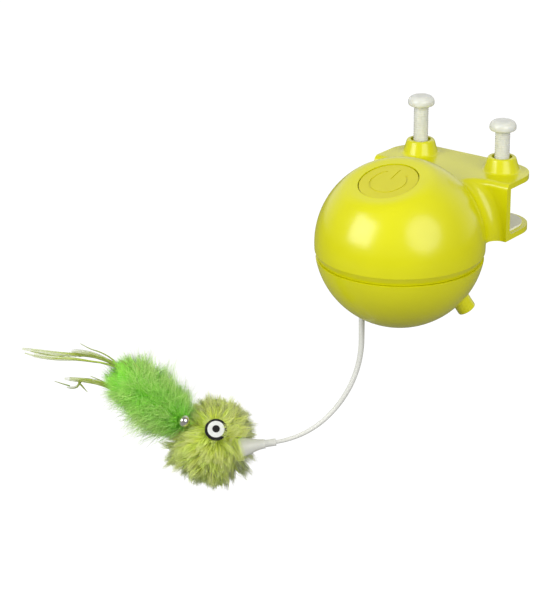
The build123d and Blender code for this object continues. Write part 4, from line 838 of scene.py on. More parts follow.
@dataclass
class PlushBall:
    """Long-pile ball on the cup's mouth: a padded backing, an undercoat and combed, clumped pile.

    Sizes are in mm, on the lure's own axes from the ball's centre. A pair that is a fade
    says where something starts and where it is full.

    Attributes:
        centre: the ball's centre, as out and height in the arm's plane.
        core_r: the ball's radius under the pile, which is drawn in by dent round the cup.
        dent_fade: angles off the mouth of that dent, in degrees.
        lumps: how many lumps the stuffing makes, with their usual height and their spread.
        tuck, root_depth: how far the backing and the pile's roots lie within that radius.
        under, fibres: number of fibres in the undercoat and in the pile.
        pile, under_share: length of the pile, and the undercoat's against it.
        pieces: how many pieces the pile is dealt out over.
        clumps: how many clumps there are, with clump_lean and the range of clump_lengths.
        clump_blur: how far a fibre may be taken by the next clump.
        drawn: how far the tips of undercoat and pile are drawn to their clump's.
        draw_power: how late along a fibre that happens.
        gather, tip_spread: how much of the way to the clump's tip it goes, and how far off it ends.
        fibre_lengths, half_width, taper: range of lengths, radius, and its run to the tip.
        stray, follow: how much a fibre strays and how much it leans, near its root and later.
        bow: how much a fibre bows.
        fuzz: how much the shading differs from fibre to fibre.
        painted_shade: how much painted shade darkens the pile on the side away from the cup, and low down.
        tones: shares of clump, fibre and painted shade in a fibre's tone.
        mouth, cup_axis, cup_r, cup_length: the cup, from its mouth to its neck.
        cup_gap, cup_fade, mouth_fade, fan: room round the cup, and how pile parts before it.
        bare: angle round the mouth with no pile, in degrees.
        before_fade, front_fade: where pile would stand before the cup.
        before_lean, before_trim: how far it leans away there, and how much shorter it is.
        sight: the way from the cup to the front.
        eye_at, eye_r, eye_rim, eye_face, eye_fade, eye_flat: the eyes, mirrored left and right.
        eye_ring, eye_lean, middle_lean, middle_fade: how the pile leans away from the eyes.
        lobes: where the pile is longer, and by how much, over lobe_spread.
    """

    centre: tuple[float, float] = (99.0, -115.0)
    core_r: float = 16.0
    dent: float = 3.2
    dent_fade: tuple[float, float] = (62.0, 30.0)
    lumps: tuple[int, float, float] = (40, 0.35, 0.03)
    tuck: float = 0.4
    root_depth: float = 0.8
    under: int = 11500
    fibres: int = 34500
    pile: float = 11.0
    under_share: float = 0.5
    pieces: int = 3
    clumps: int = 520
    clump_lean: float = 0.44
    clump_lengths: tuple[float, float] = (0.78, 1.2)
    clump_blur: float = 0.004
    drawn: tuple[float, float] = (0.2, 0.62)
    draw_power: float = 1.3
    gather: tuple[float, float] = (0.62, 1.08)
    tip_spread: float = 0.6
    fibre_lengths: tuple[float, float] = (0.6, 1.1)
    half_width: float = 0.11
    taper: tuple[float, ...] = (1.0, 1.0, 0.8, 0.2)
    stray: tuple[float, float] = (0.16, 0.2)
    follow: tuple[float, float] = (0.5, 1.2)
    bow: float = 0.25
    fuzz: float = 0.45
    painted_shade: tuple[float, float] = (0.32, 0.3)
    tones: tuple[float, float, float] = (0.4, 0.3, 0.4)
    mouth: tuple[float, float, float] = (12.4, 0.0, -3.4)
    cup_axis: tuple[float, float, float] = (0.988, 0.0, 0.156)
    cup_r: tuple[float, float] = (5.2, 2.6)
    cup_length: float = 14.0
    cup_gap: float = 0.5
    cup_fade: tuple[float, float] = (-3.5, 0.0)
    mouth_fade: tuple[float, float] = (-1.5, 0.5)
    fan: float = 0.25
    bare: float = 22.0
    before_fade: tuple[float, float] = (74.0, 48.0)
    front_fade: tuple[float, float] = (-0.3, 0.3)
    before_lean: float = 2.6
    before_trim: float = 0.35
    sight: tuple[float, float, float] = (0.0, 0.928, 0.373)
    eye_at: tuple[float, float, float] = (1.0, 16.5, 15.3)
    eye_r: float = 6.3
    eye_rim: float = 0.5
    eye_face: float = 22.0
    eye_fade: tuple[float, float] = (17.0, 21.0)
    eye_flat: float = 0.75
    eye_ring: tuple[float, float, float] = (-0.995, -0.93, -0.6)
    eye_lean: tuple[float, float] = (1.7, 0.75)
    middle_lean: tuple[float, float] = (0.45, 0.55)
    middle_fade: tuple[float, float] = (0.0, 0.4)
    lobes: tuple[tuple[tuple[float, float, float], float], ...] = (
        ((-0.93, 0.1, -0.3), 0.4),
        ((0.8, -0.2, -0.6), 0.5),
        ((0.05, -0.25, 1.0), 0.25),
    )
    lobe_spread: float = 0.12
    seed: int = 11

    def middle(self) -> np.ndarray:
        """Return the ball's centre, in metres."""
        return np.array(in_arm(*self.centre))

    def near_mouth(self, ways: np.ndarray, far: float, near: float) -> np.ndarray:
        """Find what is near the cup's mouth.

        Args:
            ways: unit vectors from the ball's centre.
            far: angle off the mouth where it begins, in degrees.
            near: angle off the mouth where it is full, in degrees.

        Returns:
            1 at the mouth and 0 away from it.
        """
        turned = ways @ unit(np.array(self.mouth))
        return smooth_step(turned, math.cos(math.radians(far)), math.cos(math.radians(near)))

    def before_cup(self, ways: np.ndarray) -> np.ndarray:
        """Find the pile that would stand before the cup.

        Args:
            ways: unit vectors from the ball's centre.

        Returns:
            1 where it would, and 0 elsewhere.
        """
        mouth = unit(np.array(self.mouth))
        ring = unit(ways - (ways @ mouth)[:, None] * mouth)
        front = smooth_step(ring @ np.array(self.sight), *self.front_fade)
        return self.near_mouth(ways, *self.before_fade) * front

    def skin(self, ways: np.ndarray) -> np.ndarray:
        """Return the backing's radius in each direction, drawn in round the cup."""
        return self.core_r - self.dent * self.near_mouth(ways, *self.dent_fade)

    def backing(self) -> bpy.types.Object:
        """Build the padded backing, a lumpy stuffed ball.

        Returns:
            Its object.
        """
        shape = bmesh.new()
        bmesh.ops.create_icosphere(shape, subdivisions=5, radius=MM)
        chance = np.random.default_rng(self.seed)
        count, height, spread = self.lumps
        lumps = even_directions(count, chance)
        heights = chance.normal(size=count) * height
        for vert in shape.verts:
            way = np.array(vert.co.normalized())
            vert.co *= self.skin(way[None])[0] - self.tuck + np.exp(-(1 - lumps @ way) / spread) @ heights
        bmesh.ops.translate(shape, verts=shape.verts, vec=Vector(self.middle()))
        mesh = bpy.data.meshes.new("plush_backing")
        shape.to_mesh(mesh)
        shape.free()
        mesh.shade_smooth()
        mesh.materials.append(PLUSH_BACKING.material())
        log.info("plush_backing: %d faces", len(mesh.polygons))
        return add_object("plush_backing", mesh)

    def part_for_cup(self, points: np.ndarray) -> np.ndarray:
        """Comb the pile aside where the cup comes out, so that the cup stays free and in sight.

        Args:
            points: fibre points on the ball's own axes.

        Returns:
            The points, moved.
        """
        axis, sight = unit(np.array(self.cup_axis)), np.array(self.sight)
        across = np.cross(axis, sight)
        off = points - np.array(self.mouth)
        along = off @ axis
        ring = off - along[..., None] * axis
        reach = np.linalg.norm(ring, axis=-1)
        share = np.clip(along / self.cup_length, 0.0, 1.0)
        cup = self.cup_r[0] + (self.cup_r[1] - self.cup_r[0]) * share + self.cup_gap
        clear = smooth_step(along, *self.cup_fade)
        grown = np.maximum(reach, cup)
        ring = ring * (1 + (grown / np.maximum(reach, 1e-6) - 1) * clear)[..., None]
        # what stands between the cup and the front is combed up or down
        toward, sideways = ring @ sight, ring @ across
        front = smooth_step(toward, *self.cup_fade) * smooth_step(along, *self.mouth_fade)
        wide = np.maximum(np.abs(sideways), cup + self.fan * np.abs(sideways))
        shift = (np.where(sideways < 0, -wide, wide) - sideways) * front
        ring = ring + shift[..., None] * across
        return np.array(self.mouth) + along[..., None] * axis + ring

    def press_for_eyes(self, points: np.ndarray) -> np.ndarray:
        """Hold the pile down under both eyes and lean it away round them.

        Args:
            points: fibre points on the ball's own axes.

        Returns:
            The points, moved.
        """
        out = points
        for side in (1.0, -1.0):
            to = unit(np.array([self.eye_at[0], side * self.eye_at[1], self.eye_at[2]]))
            depth = out @ to
            off = out - depth[..., None] * to
            reach = np.linalg.norm(off, axis=-1)
            high = smooth_step(depth, *self.eye_fade)
            away = np.maximum(self.eye_r + self.eye_rim - reach, 0.0) * high / np.maximum(reach, 0.4)
            spread = out + off * away[..., None]
            # the felt lies on a ball of radius eye_face, and what is under it is held down
            face = self.eye_face - reach**2 / (2 * self.eye_face)
            sunk = out - (np.maximum(depth - face, 0.0))[..., None] * to
            near = reach < self.eye_r * self.eye_flat
            moved = np.where(near[..., None], sunk, spread)
            touched = (depth > 0) & (reach < self.eye_r + self.eye_rim)
            out = np.where(touched[..., None], moved, out)
        return out

    def comb(self, ways: np.ndarray) -> np.ndarray:
        """Return how the pile leans at each place: away from the eyes, and off the cup.

        Args:
            ways: unit vectors from the ball's centre.

        Returns:
            Lean along the surface, 1 for 45 degrees.
        """
        side = np.where(ways[:, 1] < 0, -1.0, 1.0)
        eyes = unit(np.array(self.eye_at) * np.stack([np.ones(len(ways)), side, np.ones(len(ways))], 1))
        turned = np.sum(ways * eyes, axis=1)
        off_eye = unit(ways * turned[:, None] - eyes)
        # it leans most close round an eye, and less along the line between the eyes
        start, full, far = self.eye_ring
        most, lost = self.eye_lean
        strength = smooth_step(-turned, start, full) * (most - lost * smooth_step(-turned, full, far))
        least, more = self.middle_lean
        strength = strength * (least + more * smooth_step(np.abs(ways[:, 1]), *self.middle_fade))
        mouth = unit(np.array(self.mouth))
        off_cup = unit(ways * (ways @ mouth)[:, None] - mouth)
        # before the cup the pile lies almost flat
        before = self.before_cup(ways)[:, None]
        return off_eye * strength[:, None] * (1 - before) + off_cup * self.before_lean * before

    def grow(self, count: int, length: float, clumping: float, seed: int, name: str) -> Coat:
        """Grow one coat.

        Args:
            count: how many fibres.
            length: their usual length, in mm.
            clumping: how far tips are drawn to their clump, 0 to 1.
            seed: seed of the chance.
            name: name of the piece.

        Returns:
            The coat.
        """
        chance = np.random.default_rng(seed)
        ways = even_directions(count, chance)
        ways = ways[ways @ unit(np.array(self.mouth)) < math.cos(math.radians(self.bare))]
        tufts = np.random.default_rng(self.seed)
        clump_ways = even_directions(self.clumps, tufts, 0.4)
        own_lean = tufts.normal(size=clump_ways.shape) * self.clump_lean
        own_lean -= np.sum(own_lean * clump_ways, axis=1, keepdims=True) * clump_ways
        lean = self.comb(clump_ways) + own_lean
        clump_len = tufts.uniform(*self.clump_lengths, self.clumps)
        for toward, more in self.lobes:
            clump_len *= 1 + more * np.exp((clump_ways @ unit(np.array(toward)) - 1) / self.lobe_spread)
        clump_tone = tufts.uniform(0.0, 1.0, self.clumps)
        blur = chance.normal(size=(len(ways), 1)) * self.clump_blur
        nearest = np.argmax(ways @ clump_ways.T + blur, axis=1)
        tips = clump_ways * self.skin(clump_ways)[:, None]
        tips = tips + unit(clump_ways + lean) * (length * clump_len)[:, None]
        # a fibre stands up at its root and leans over towards its tip
        leaning = self.comb(ways) + own_lean[nearest]
        own, later = (
            unit(ways + chance.normal(size=ways.shape) * stray + follow * leaning)
            for stray, follow in zip(self.stray, self.follow)
        )
        size = length * clump_len[nearest] * chance.uniform(*self.fibre_lengths, len(ways))
        size = size * (1 - self.before_trim * self.before_cup(ways))
        steps = np.linspace(0.0, 1.0, len(self.taper))
        root = ways * (self.skin(ways) - self.root_depth)[:, None]
        turn = own[:, None, :] * (1 - 0.5 * steps)[:, None] + later[:, None, :] * (0.5 * steps)[:, None]
        free = root[:, None, :] + turn * (steps[:, None] * size[:, None, None])
        target = tips[nearest] + chance.normal(size=ways.shape) * self.tip_spread
        gather = chance.uniform(*self.gather, (len(ways), 1, 1))
        drawn = root[:, None, :] + (target - root)[:, None, :] * steps[:, None] * gather
        pull = (clumping * steps**self.draw_power)[None, :, None]
        lines = free + (drawn - free) * pull
        bow = chance.normal(size=(len(ways), 3)) * self.bow
        lines += bow[:, None, :] * np.sin(steps * np.pi)[:, None]
        lines = self.press_for_eyes(self.part_for_cup(lines))
        facing = unit(unit(lines) + chance.normal(size=(len(ways), 1, 3)) * self.fuzz)
        world = self.middle() + (lines @ LURE_AXES) * MM
        radii = self.half_width * np.array(self.taper) * chance.uniform(*THICKNESSES, (len(ways), 1)) * MM
        # painted shade: a darker tone low down and on the side away from the cup
        painted_shade = 0.5 - self.painted_shade[0] * ways[:, 0] - self.painted_shade[1] * ways[:, 2]
        clump, fibre, place = self.tones
        mixed = clump * clump_tone[nearest] + fibre * chance.uniform(0.0, 1.0, len(ways)) + place * painted_shade
        return Coat(name, world, radii, np.clip(mixed, 0, 1), facing @ LURE_AXES).clear_of_bell()

    def build(self) -> list[bpy.types.Object]:
        """Build the ball and hang it on the turning half.

        Returns:
            Backing, undercoat and pile.
        """
        backing = self.backing()
        short = self.pile * self.under_share
        under = self.grow(self.under, short, self.drawn[0], self.seed + 1, "plush_undercoat")
        pile = self.grow(self.fibres, self.pile, self.drawn[1], self.seed + 2, "plush_pile")
        made = [backing] + [coat.build(PLUSH_PILE) for coat in (under, *pile.split(self.pieces))]
        for piece in made:
            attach(piece, "rotor")
        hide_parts("plush_body")
        return made


def from_arm(local: np.ndarray) -> np.ndarray:
    """Turn points given as out, height and side in the arm's plane (mm) into the row frame (m)."""
    return np.array(tuple(BALL)) + (local @ ARM_AXES) * MM


@dataclass
class FeatherTuft:
    """Plumes of down from one bound root, whose fine barbs fill a blunt spindle.

    Places along the axis run from 0 at the root to 1 at the tip, and sizes are in mm.

    Attributes:
        root, tip: ends of the tuft's axis, as out and height in the arm's plane.
        girth: radius along the axis.
        puffs, puff_sizes, puff_spread: patches whose barbs are all shorter or all longer.
        plumes, plume_jitter, plume_off: how many there are, and how they stand round the axis.
        barbs, pieces: how many barbs there are, dealt out over how many pieces.
        feet, foot_crowd: where barbs leave their plume, and how much they crowd to the tip.
        ahead, scatter: how far along and round the axis a barb's tip lies from its foot.
        ragged: how uneven the tuft's end is.
        lengths, length_power: shortest barb and the range over it, against the girth.
        long_share, long_size: share of barbs that stand out, and how much longer they are.
        locks, lock_from, lock_crowd, lock_reach: tips that draw barbs together.
        lock_blur, lock_pull: how loosely and how far they do.
        bulge, kink, curl, curl_turns: how a barb bends on its way.
        half_width, taper: radius of a barb and its run to the tip.
        fuzz: how much the shading differs from barb to barb.
        core, core_fade: size of the barbs with no painted glow of light, and the range over which it pales
            them most.
        tones: shares of lock, barb and painted glow of light by size in a barb's tone.
    """

    root: tuple[float, float] = (114.0, -105.0)
    tip: tuple[float, float] = (154.0, -70.5)
    girth: tuple[float, ...] = (12.0, 15.5, 17.5, 18.5, 18.5, 18.0, 17.0, 14.5, 8.5)
    puffs: int = 16
    puff_sizes: tuple[float, float] = (-0.22, 0.16)
    puff_spread: tuple[float, float] = (0.02, 0.25)
    plumes: int = 9
    plume_jitter: float = 0.2
    plume_off: float = 0.3
    barbs: int = 22000
    pieces: int = 2
    feet: tuple[float, float] = (0.0, 0.78)
    foot_crowd: float = 0.9
    ahead: tuple[float, float] = (-0.04, 0.3)
    ragged: float = 0.05
    scatter: float = 1.0
    lengths: tuple[float, float] = (0.42, 0.6)
    length_power: float = 1.25
    long_share: float = 0.2
    long_size: float = 1.4
    locks: int = 110
    lock_from: float = 0.12
    lock_crowd: float = 0.8
    lock_reach: tuple[float, float] = (0.8, 1.12)
    lock_blur: float = 0.4
    lock_pull: float = 0.5
    bulge: float = 0.14
    kink: float = 1.5
    curl: float = 1.2
    curl_turns: float = 1.6
    half_width: float = 0.085
    taper: tuple[float, ...] = (1.0, 1.0, 0.7, 0.25)
    fuzz: float = 0.45
    core: float = 0.5
    core_fade: float = 0.7
    tones: tuple[float, float, float] = (0.25, 0.25, 0.6)
    seed: int = 23

    def girth_at(self, place: np.ndarray) -> np.ndarray:
        """Return the tuft's radius at each place along the axis, from 0 to 1."""
        return np.interp(place, np.linspace(0.0, 1.0, len(self.girth)), self.girth)

    def grow(self) -> Coat:
        """Lay every barb from its plume to the tuft's outline.

        Returns:
            The coat of barbs.
        """
        chance = np.random.default_rng(self.seed)
        start = np.array([*self.root, 0.0])
        reach = float(np.linalg.norm(np.subtract(self.tip, self.root)))
        axis = unit(np.array([self.tip[0] - self.root[0], self.tip[1] - self.root[1], 0.0]))
        across = np.array([-axis[1], axis[0], 0.0])
        side = np.array([0.0, 0.0, 1.0])
        barbs, girth = self.barbs, self.girth_at

        def ring(turn: np.ndarray) -> np.ndarray:
            """Return the way out from the axis at each turn, in radians."""
            return across * np.cos(turn)[:, None] + side * np.sin(turn)[:, None]

        lock_at = chance.uniform(self.lock_from, 1.0, self.locks) ** self.lock_crowd
        lock_turn = chance.uniform(0, 2 * np.pi, self.locks)
        lock_r = girth(lock_at) * chance.uniform(*self.lock_reach, self.locks)
        lock_tip = start + axis * (lock_at * reach)[:, None] + ring(lock_turn) * lock_r[:, None]
        lock_tone = chance.uniform(0.0, 1.0, self.locks)
        puff_at = chance.uniform(0.0, 1.0, self.puffs)
        puff_turn = chance.uniform(0, 2 * np.pi, self.puffs)
        puff = chance.choice(self.puff_sizes, self.puffs)
        foot_at = chance.uniform(*self.feet, barbs) ** self.foot_crowd
        plume = chance.integers(0, self.plumes, barbs)
        plume_turns = 2 * np.pi * np.arange(self.plumes) / self.plumes
        plume_turns = plume_turns + chance.normal(size=self.plumes) * self.plume_jitter
        plume_turn = plume_turns[plume]
        foot = start + axis * (foot_at * reach)[:, None]
        foot = foot + ring(plume_turn) * (girth(foot_at) * self.plume_off * foot_at)[:, None]
        tip_at = foot_at + chance.uniform(*self.ahead, barbs)
        tip_at = np.minimum(tip_at, 1.0 + chance.normal(size=barbs) * self.ragged)
        tip_turn = plume_turn + chance.normal(size=barbs) * self.scatter
        size = self.lengths[0] + self.lengths[1] * chance.uniform(size=barbs) ** self.length_power
        size = size * np.where(chance.uniform(size=barbs) < self.long_share, self.long_size, 1.0)
        # a puff lengthens or shortens the barbs whose tips lie near it
        along, around = self.puff_spread
        away = (tip_at[:, None] - puff_at) ** 2 / along
        away = away + (1 - np.cos(tip_turn[:, None] - puff_turn)) / around
        size = size * (1 + np.exp(-away) @ puff)
        tip = start + axis * (tip_at * reach)[:, None] + ring(tip_turn) * (girth(tip_at) * size)[:, None]
        # each tip is then drawn towards the lock next to it
        apart = np.linalg.norm(tip[:, None, :] - lock_tip[None], axis=2)
        nearest = np.argmin(apart + chance.normal(size=(barbs, 1)) * self.lock_blur, axis=1)
        tip = tip + (lock_tip[nearest] - tip) * chance.uniform(0.0, self.lock_pull, barbs)[:, None]
        bend = foot + (tip - foot) * 0.5 + ring(tip_turn) * (girth(tip_at) * self.bulge)[:, None]
        bend += chance.normal(size=tip.shape) * self.kink
        share = np.linspace(0.0, 1.0, len(self.taper))[None, :, None]
        line = foot[:, None] * (1 - share) ** 2 + 2 * bend[:, None] * share * (1 - share)
        line = line + tip[:, None] * share**2
        curl = chance.normal(size=tip.shape) * self.curl
        line = line + curl[:, None, :] * (np.sin(share * np.pi * self.curl_turns) * share)
        centre = start + axis * (np.clip((line - start) @ axis, 0, reach))[..., None] * 0.9
        facing = unit(unit(line - centre) + chance.normal(size=(barbs, 1, 3)) * self.fuzz)
        wide = chance.uniform(*THICKNESSES, (barbs, 1)) * self.half_width
        wide = wide * np.array(self.taper) * MM
        # painted glow of light: the short barbs of the core keep the full colour, and the long ones are
        # painted paler towards the outline
        painted_glow = np.clip((size - self.core) / self.core_fade, 0.0, 1.0)
        lock, barb, painted_glow_share = self.tones
        tone = lock * lock_tone[nearest] + barb * chance.uniform(0, 1, barbs) + painted_glow_share * painted_glow
        return Coat("down_tuft", from_arm(line), wide, np.clip(tone, 0, 1), facing @ ARM_AXES)

    def build(self) -> list[bpy.types.Object]:
        """Grow the tuft and hang it on the turning half.

        Returns:
            Its pieces.
        """
        made = [part.build(DOWN) for part in self.grow().clear_of_bell().split(self.pieces)]
        for piece in made:
            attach(piece, "rotor")
        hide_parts("feather_tuft")
        return made


def through(points: np.ndarray, count: int) -> np.ndarray:
    """Draw a smooth line through points.

    Args:
        points: rows of numbers, in order.
        count: how many rows come back.

    Returns:
        Evenly spread rows on a Catmull-Rom curve through the points.
    """
    ends = np.vstack([2 * points[0] - points[1], points, 2 * points[-1] - points[-2]])
    place = np.linspace(0, len(points) - 1 - 1e-6, count)
    index = place.astype(int)
    part = (place - index)[:, None]
    a, b, c, d = (ends[index + k] for k in range(4))
    square, cube = (2 * a - 5 * b + 4 * c - d) * part**2, (3 * b - a - 3 * c + d) * part**3
    return 0.5 * (2 * b + (c - a) * part + square + cube)


@dataclass(frozen=True)
class Vane:
    """One long barb of the feathers: a narrow vane of fine filaments.

    Attributes:
        filaments: how many filaments lie side by side.
        side: how far its tip stands to the front, in mm.
        tone: 0 for the main colour, 1 for the darker one.
        run: points of its middle line, as out and height in the arm's plane and width, in mm.
    """

    filaments: int
    side: float
    tone: float
    run: tuple[tuple[float, float, float], ...]


@dataclass(frozen=True)
class LongFeathers:
    """The long barbs that trail from the tuft.

    Attributes:
        steps: points along each filament.
        radius: radius of a filament, in mm.
        fullness: how far the filaments spread beyond the vanes' own widths.
        drift, waves: how far a filament wanders off its line, and in how many half waves.
        cupping: how much a vane is cupped towards the front.
        shortest: the shortest filament of a vane of three or more, against the longest.
        thinning: thickness at the root against radius, and how much of it is lost at the tip.
        tone_scatter, edge, edge_tone: how tones differ, and how dark a vane's edges are.
        vanes: the vanes.
    """

    steps: int = 15
    radius: float = 0.19
    fullness: float = 1.6
    drift: float = 0.12
    waves: tuple[float, float] = (1.0, 2.5)
    cupping: float = 0.5
    shortest: float = 0.86
    thinning: tuple[float, float] = (1.1, 0.75)
    tone_scatter: float = 0.15
    edge: float = 0.45
    edge_tone: float = 0.35
    seed: int = 5
    vanes: tuple[Vane, ...] = (
        Vane(6, 1.5, 0.35, (
            (133.5, -80.1, 1.2), (141.4, -74.1, 1.0), (149.4, -70.5, 0.8), (157.3, -67.5, 0.5),
            (165.3, -66.0, 0.6), (173.3, -64.7, 1.0), (181.3, -64.0, 1.7), (189.3, -63.0, 1.8),
            (197.3, -61.4, 1.2), (204.1, -58.6, 0.2),
        )),
        Vane(6, -0.5, 0.2, (
            (134.6, -78.9, 1.4), (142.5, -72.9, 1.3), (150.4, -68.8, 1.0), (157.2, -65.5, 0.8),
            (164.1, -63.6, 0.9), (170.5, -62.7, 1.0), (177.0, -62.5, 1.4), (183.9, -62.0, 1.7),
            (191.9, -60.7, 1.5), (199.9, -59.2, 0.8), (203.5, -58.4, 0.2),
        )),
        Vane(5, 2.5, 0.6, (
            (136.2, -77.7, 1.2), (145.1, -71.7, 1.1), (153.5, -67.0, 1.0), (159.8, -63.4, 1.2),
            (165.1, -61.3, 1.5), (170.4, -60.1, 1.6), (174.7, -59.7, 1.1), (178.5, -61.7, 0.4),
        )),
        Vane(2, -2.0, 0.5, (
            (138.8, -76.5, 0.6), (149.3, -69.4, 0.5), (154.5, -64.6, 0.4), (159.8, -61.6, 0.3),
            (165.1, -59.8, 0.2), (170.3, -56.9, 0.1),
        )),
        Vane(3, 3.5, 1.0, (
            (137.8, -77.7, 0.8), (150.4, -69.3, 0.7), (155.7, -66.1, 0.6), (161.5, -63.7, 0.6),
            (166.2, -62.3, 0.7), (170.5, -62.1, 0.6), (174.9, -63.5, 0.2),
        )),
        Vane(2, 3.0, 0.6, (
            (135.7, -78.9, 0.5), (141.4, -72.4, 0.4), (145.5, -67.6, 0.3), (149.7, -64.1, 0.1),
        )),
        Vane(2, -3.0, 0.3, (
            (135.6, -77.7, 0.4), (139.8, -73.0, 0.3), (143.4, -68.2, 0.2), (147.1, -65.9, 0.1),
        )),
        Vane(2, 4.0, 0.2, (
            (133.5, -78.9, 0.5), (137.6, -73.0, 0.4), (139.1, -69.5, 0.3), (141.7, -65.9, 0.1),
        )),
        Vane(11, 5.0, 0.1, (
            (137.9, -80.1, 2.6), (138.8, -75.3, 2.6), (139.2, -71.2, 1.6), (140.1, -66.5, 0.2),
        )),
        Vane(6, 3.0, 0.35, (
            (140.3, -89.5, 1.3), (148.8, -84.7, 1.4), (154.1, -81.7, 1.5), (159.4, -78.9, 1.6),
            (164.7, -77.3, 1.6), (171.1, -76.2, 1.4), (176.5, -75.5, 1.2), (181.8, -74.9, 0.8),
        )),
        Vane(4, 1.5, 0.3, (
            (141.4, -90.7, 0.8), (150.9, -84.1, 0.8), (156.2, -81.0, 0.9), (161.5, -79.2, 1.0),
            (166.8, -77.4, 1.1), (173.3, -76.7, 1.2), (179.7, -75.8, 1.0),
        )),
        Vane(3, 2.6, 1.0, (
            (164.7, -77.4, 0.4), (169.0, -76.8, 0.5), (171.2, -78.5, 0.5), (172.9, -80.6, 0.7),
            (176.1, -80.8, 0.8), (179.3, -79.9, 0.2),
        )),
        Vane(2, 3.4, 1.0, (
            (169.0, -76.8, 0.3), (171.7, -77.9, 0.4), (169.7, -80.3, 0.4), (167.1, -83.0, 0.1),
        )),
        Vane(2, 4.0, 0.4, (
            (155.1, -81.1, 0.4), (158.3, -78.1, 0.3), (161.4, -75.7, 0.2), (165.1, -73.3, 0.1),
        )),
        Vane(2, 2.8, 0.6, (
            (176.7, -80.8, 0.3), (180.9, -78.7, 0.2), (184.6, -76.6, 0.1),
        )),
    )

    def build(self) -> bpy.types.Object:
        """Lay the filaments of every vane and hang them on the turning half.

        Returns:
            The finished object.
        """
        chance = np.random.default_rng(self.seed)
        lines, radii, tone = [], [], []
        share = np.linspace(0.0, 1.0, self.steps)
        for vane in self.vanes:
            run = through(np.array(vane.run), self.steps)
            flat, width = run[:, :2], run[:, 2] * self.fullness
            along = unit(np.gradient(flat, axis=0))
            beside = np.stack([-along[:, 1], along[:, 0]], axis=1)
            for place in np.linspace(-0.5, 0.5, 2 * vane.filaments):
                off = chance.normal() * self.drift
                drift = off * np.sin(share * np.pi * chance.uniform(*self.waves))
                line = np.zeros((self.steps, 3))
                line[:, :2] = flat + beside * ((place * width) + drift * np.minimum(1.0, width))[:, None]
                line[:, 2] = vane.side * share + self.cupping * width * (0.25 - place**2)
                end = chance.uniform(self.shortest, 1.0) if vane.filaments > 2 else 1.0
                lines.append(through(line[: int(self.steps * end)], self.steps))
                thick, lost = self.thinning
                radii.append(self.radius * np.clip(thick - share**2 * lost, 0.2, 1.0) * MM)
                dark = self.edge_tone * (abs(place) > self.edge)
                tone.append(np.clip(vane.tone + chance.normal() * self.tone_scatter + dark, 0, 1))
        coat = Coat("trailing_barbs", from_arm(np.array(lines)), np.array(radii), np.array(tone))
        made = coat.build(BARBS)
        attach(made, "rotor")
        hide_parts("long_feathers")
        return made


# ---------------------------------------------------------------- camera, light and floor
@dataclass(frozen=True)
class ProductCamera:
    """Camera placed by its heading, height and roll round the ball's centre.

    Attributes:
        azimuth, elevation, roll: its direction, in degrees.
        focal_px, long_side_px: focal length and picture's long side, in pixels.
        right_mm, up_mm: how far the ball's centre lies right of and above the picture's middle.
        distance_mm: how far it stands from the ball.
        sensor_mm, clip: width of its sensor, and the nearest and farthest it sees, in metres.
    """

    azimuth: float = 37.9
    elevation: float = 21.9
    roll: float = -0.5
    focal_px: float = 2137.0
    long_side_px: float = 600.0
    right_mm: float = 66.6
    up_mm: float = 30.3
    distance_mm: float = 1122.0
    sensor_mm: float = 36.0
    clip: tuple[float, float] = (0.05, 20.0)

    def build(self) -> None:
        """Create the camera and make it the scene's."""
        turn, rise, roll = (math.radians(x) for x in (self.azimuth, self.elevation, self.roll))
        right = Vector((math.cos(turn), math.sin(turn), 0.0))
        back = Vector((math.sin(turn) * math.cos(rise), -math.cos(turn) * math.cos(rise), math.sin(rise)))
        up = back.cross(right)
        rolled_right = right * math.cos(roll) + up * math.sin(roll)
        rolled_up = up * math.cos(roll) - right * math.sin(roll)
        data = bpy.data.cameras.new("product_camera")
        data.sensor_width = self.sensor_mm
        data.lens = self.sensor_mm * self.focal_px / self.long_side_px
        data.clip_start, data.clip_end = self.clip
        camera = add_object("product_camera", data)
        place = BALL + (back * self.distance_mm - rolled_right * self.right_mm - rolled_up * self.up_mm) * MM
        axes = Matrix((rolled_right, rolled_up, back)).transposed()
        camera.matrix_world = Matrix.Translation(place) @ axes.to_4x4()
        bpy.context.scene.camera = camera


class Face(Enum):
    """Outline of a soft light's face."""

    SQUARE = "RECTANGLE"
    ROUND = "ELLIPSE"


@dataclass(frozen=True)
class SoftBox:
    """A soft light that faces the ball, with its distance and size in metres."""

    name: str
    direction: tuple[float, float, float]
    distance: float
    size: tuple[float, float]
    radiance: float
    face: Face = Face.SQUARE

    def build(self) -> None:
        """Create the light. Its power follows from its face's radiance."""
        data = bpy.data.lights.new(self.name, "AREA")
        data.shape = self.face.value
        data.size, data.size_y = self.size
        area = self.size[0] * self.size[1] * (math.pi / 4 if self.face is Face.ROUND else 1.0)
        data.energy = self.radiance * math.pi * area
        light = add_object(self.name, data)
        way = Vector(self.direction).normalized()
        turn = way.to_track_quat("Z", "Y").to_matrix().to_4x4()
        light.matrix_world = Matrix.Translation(BALL + way * self.distance) @ turn


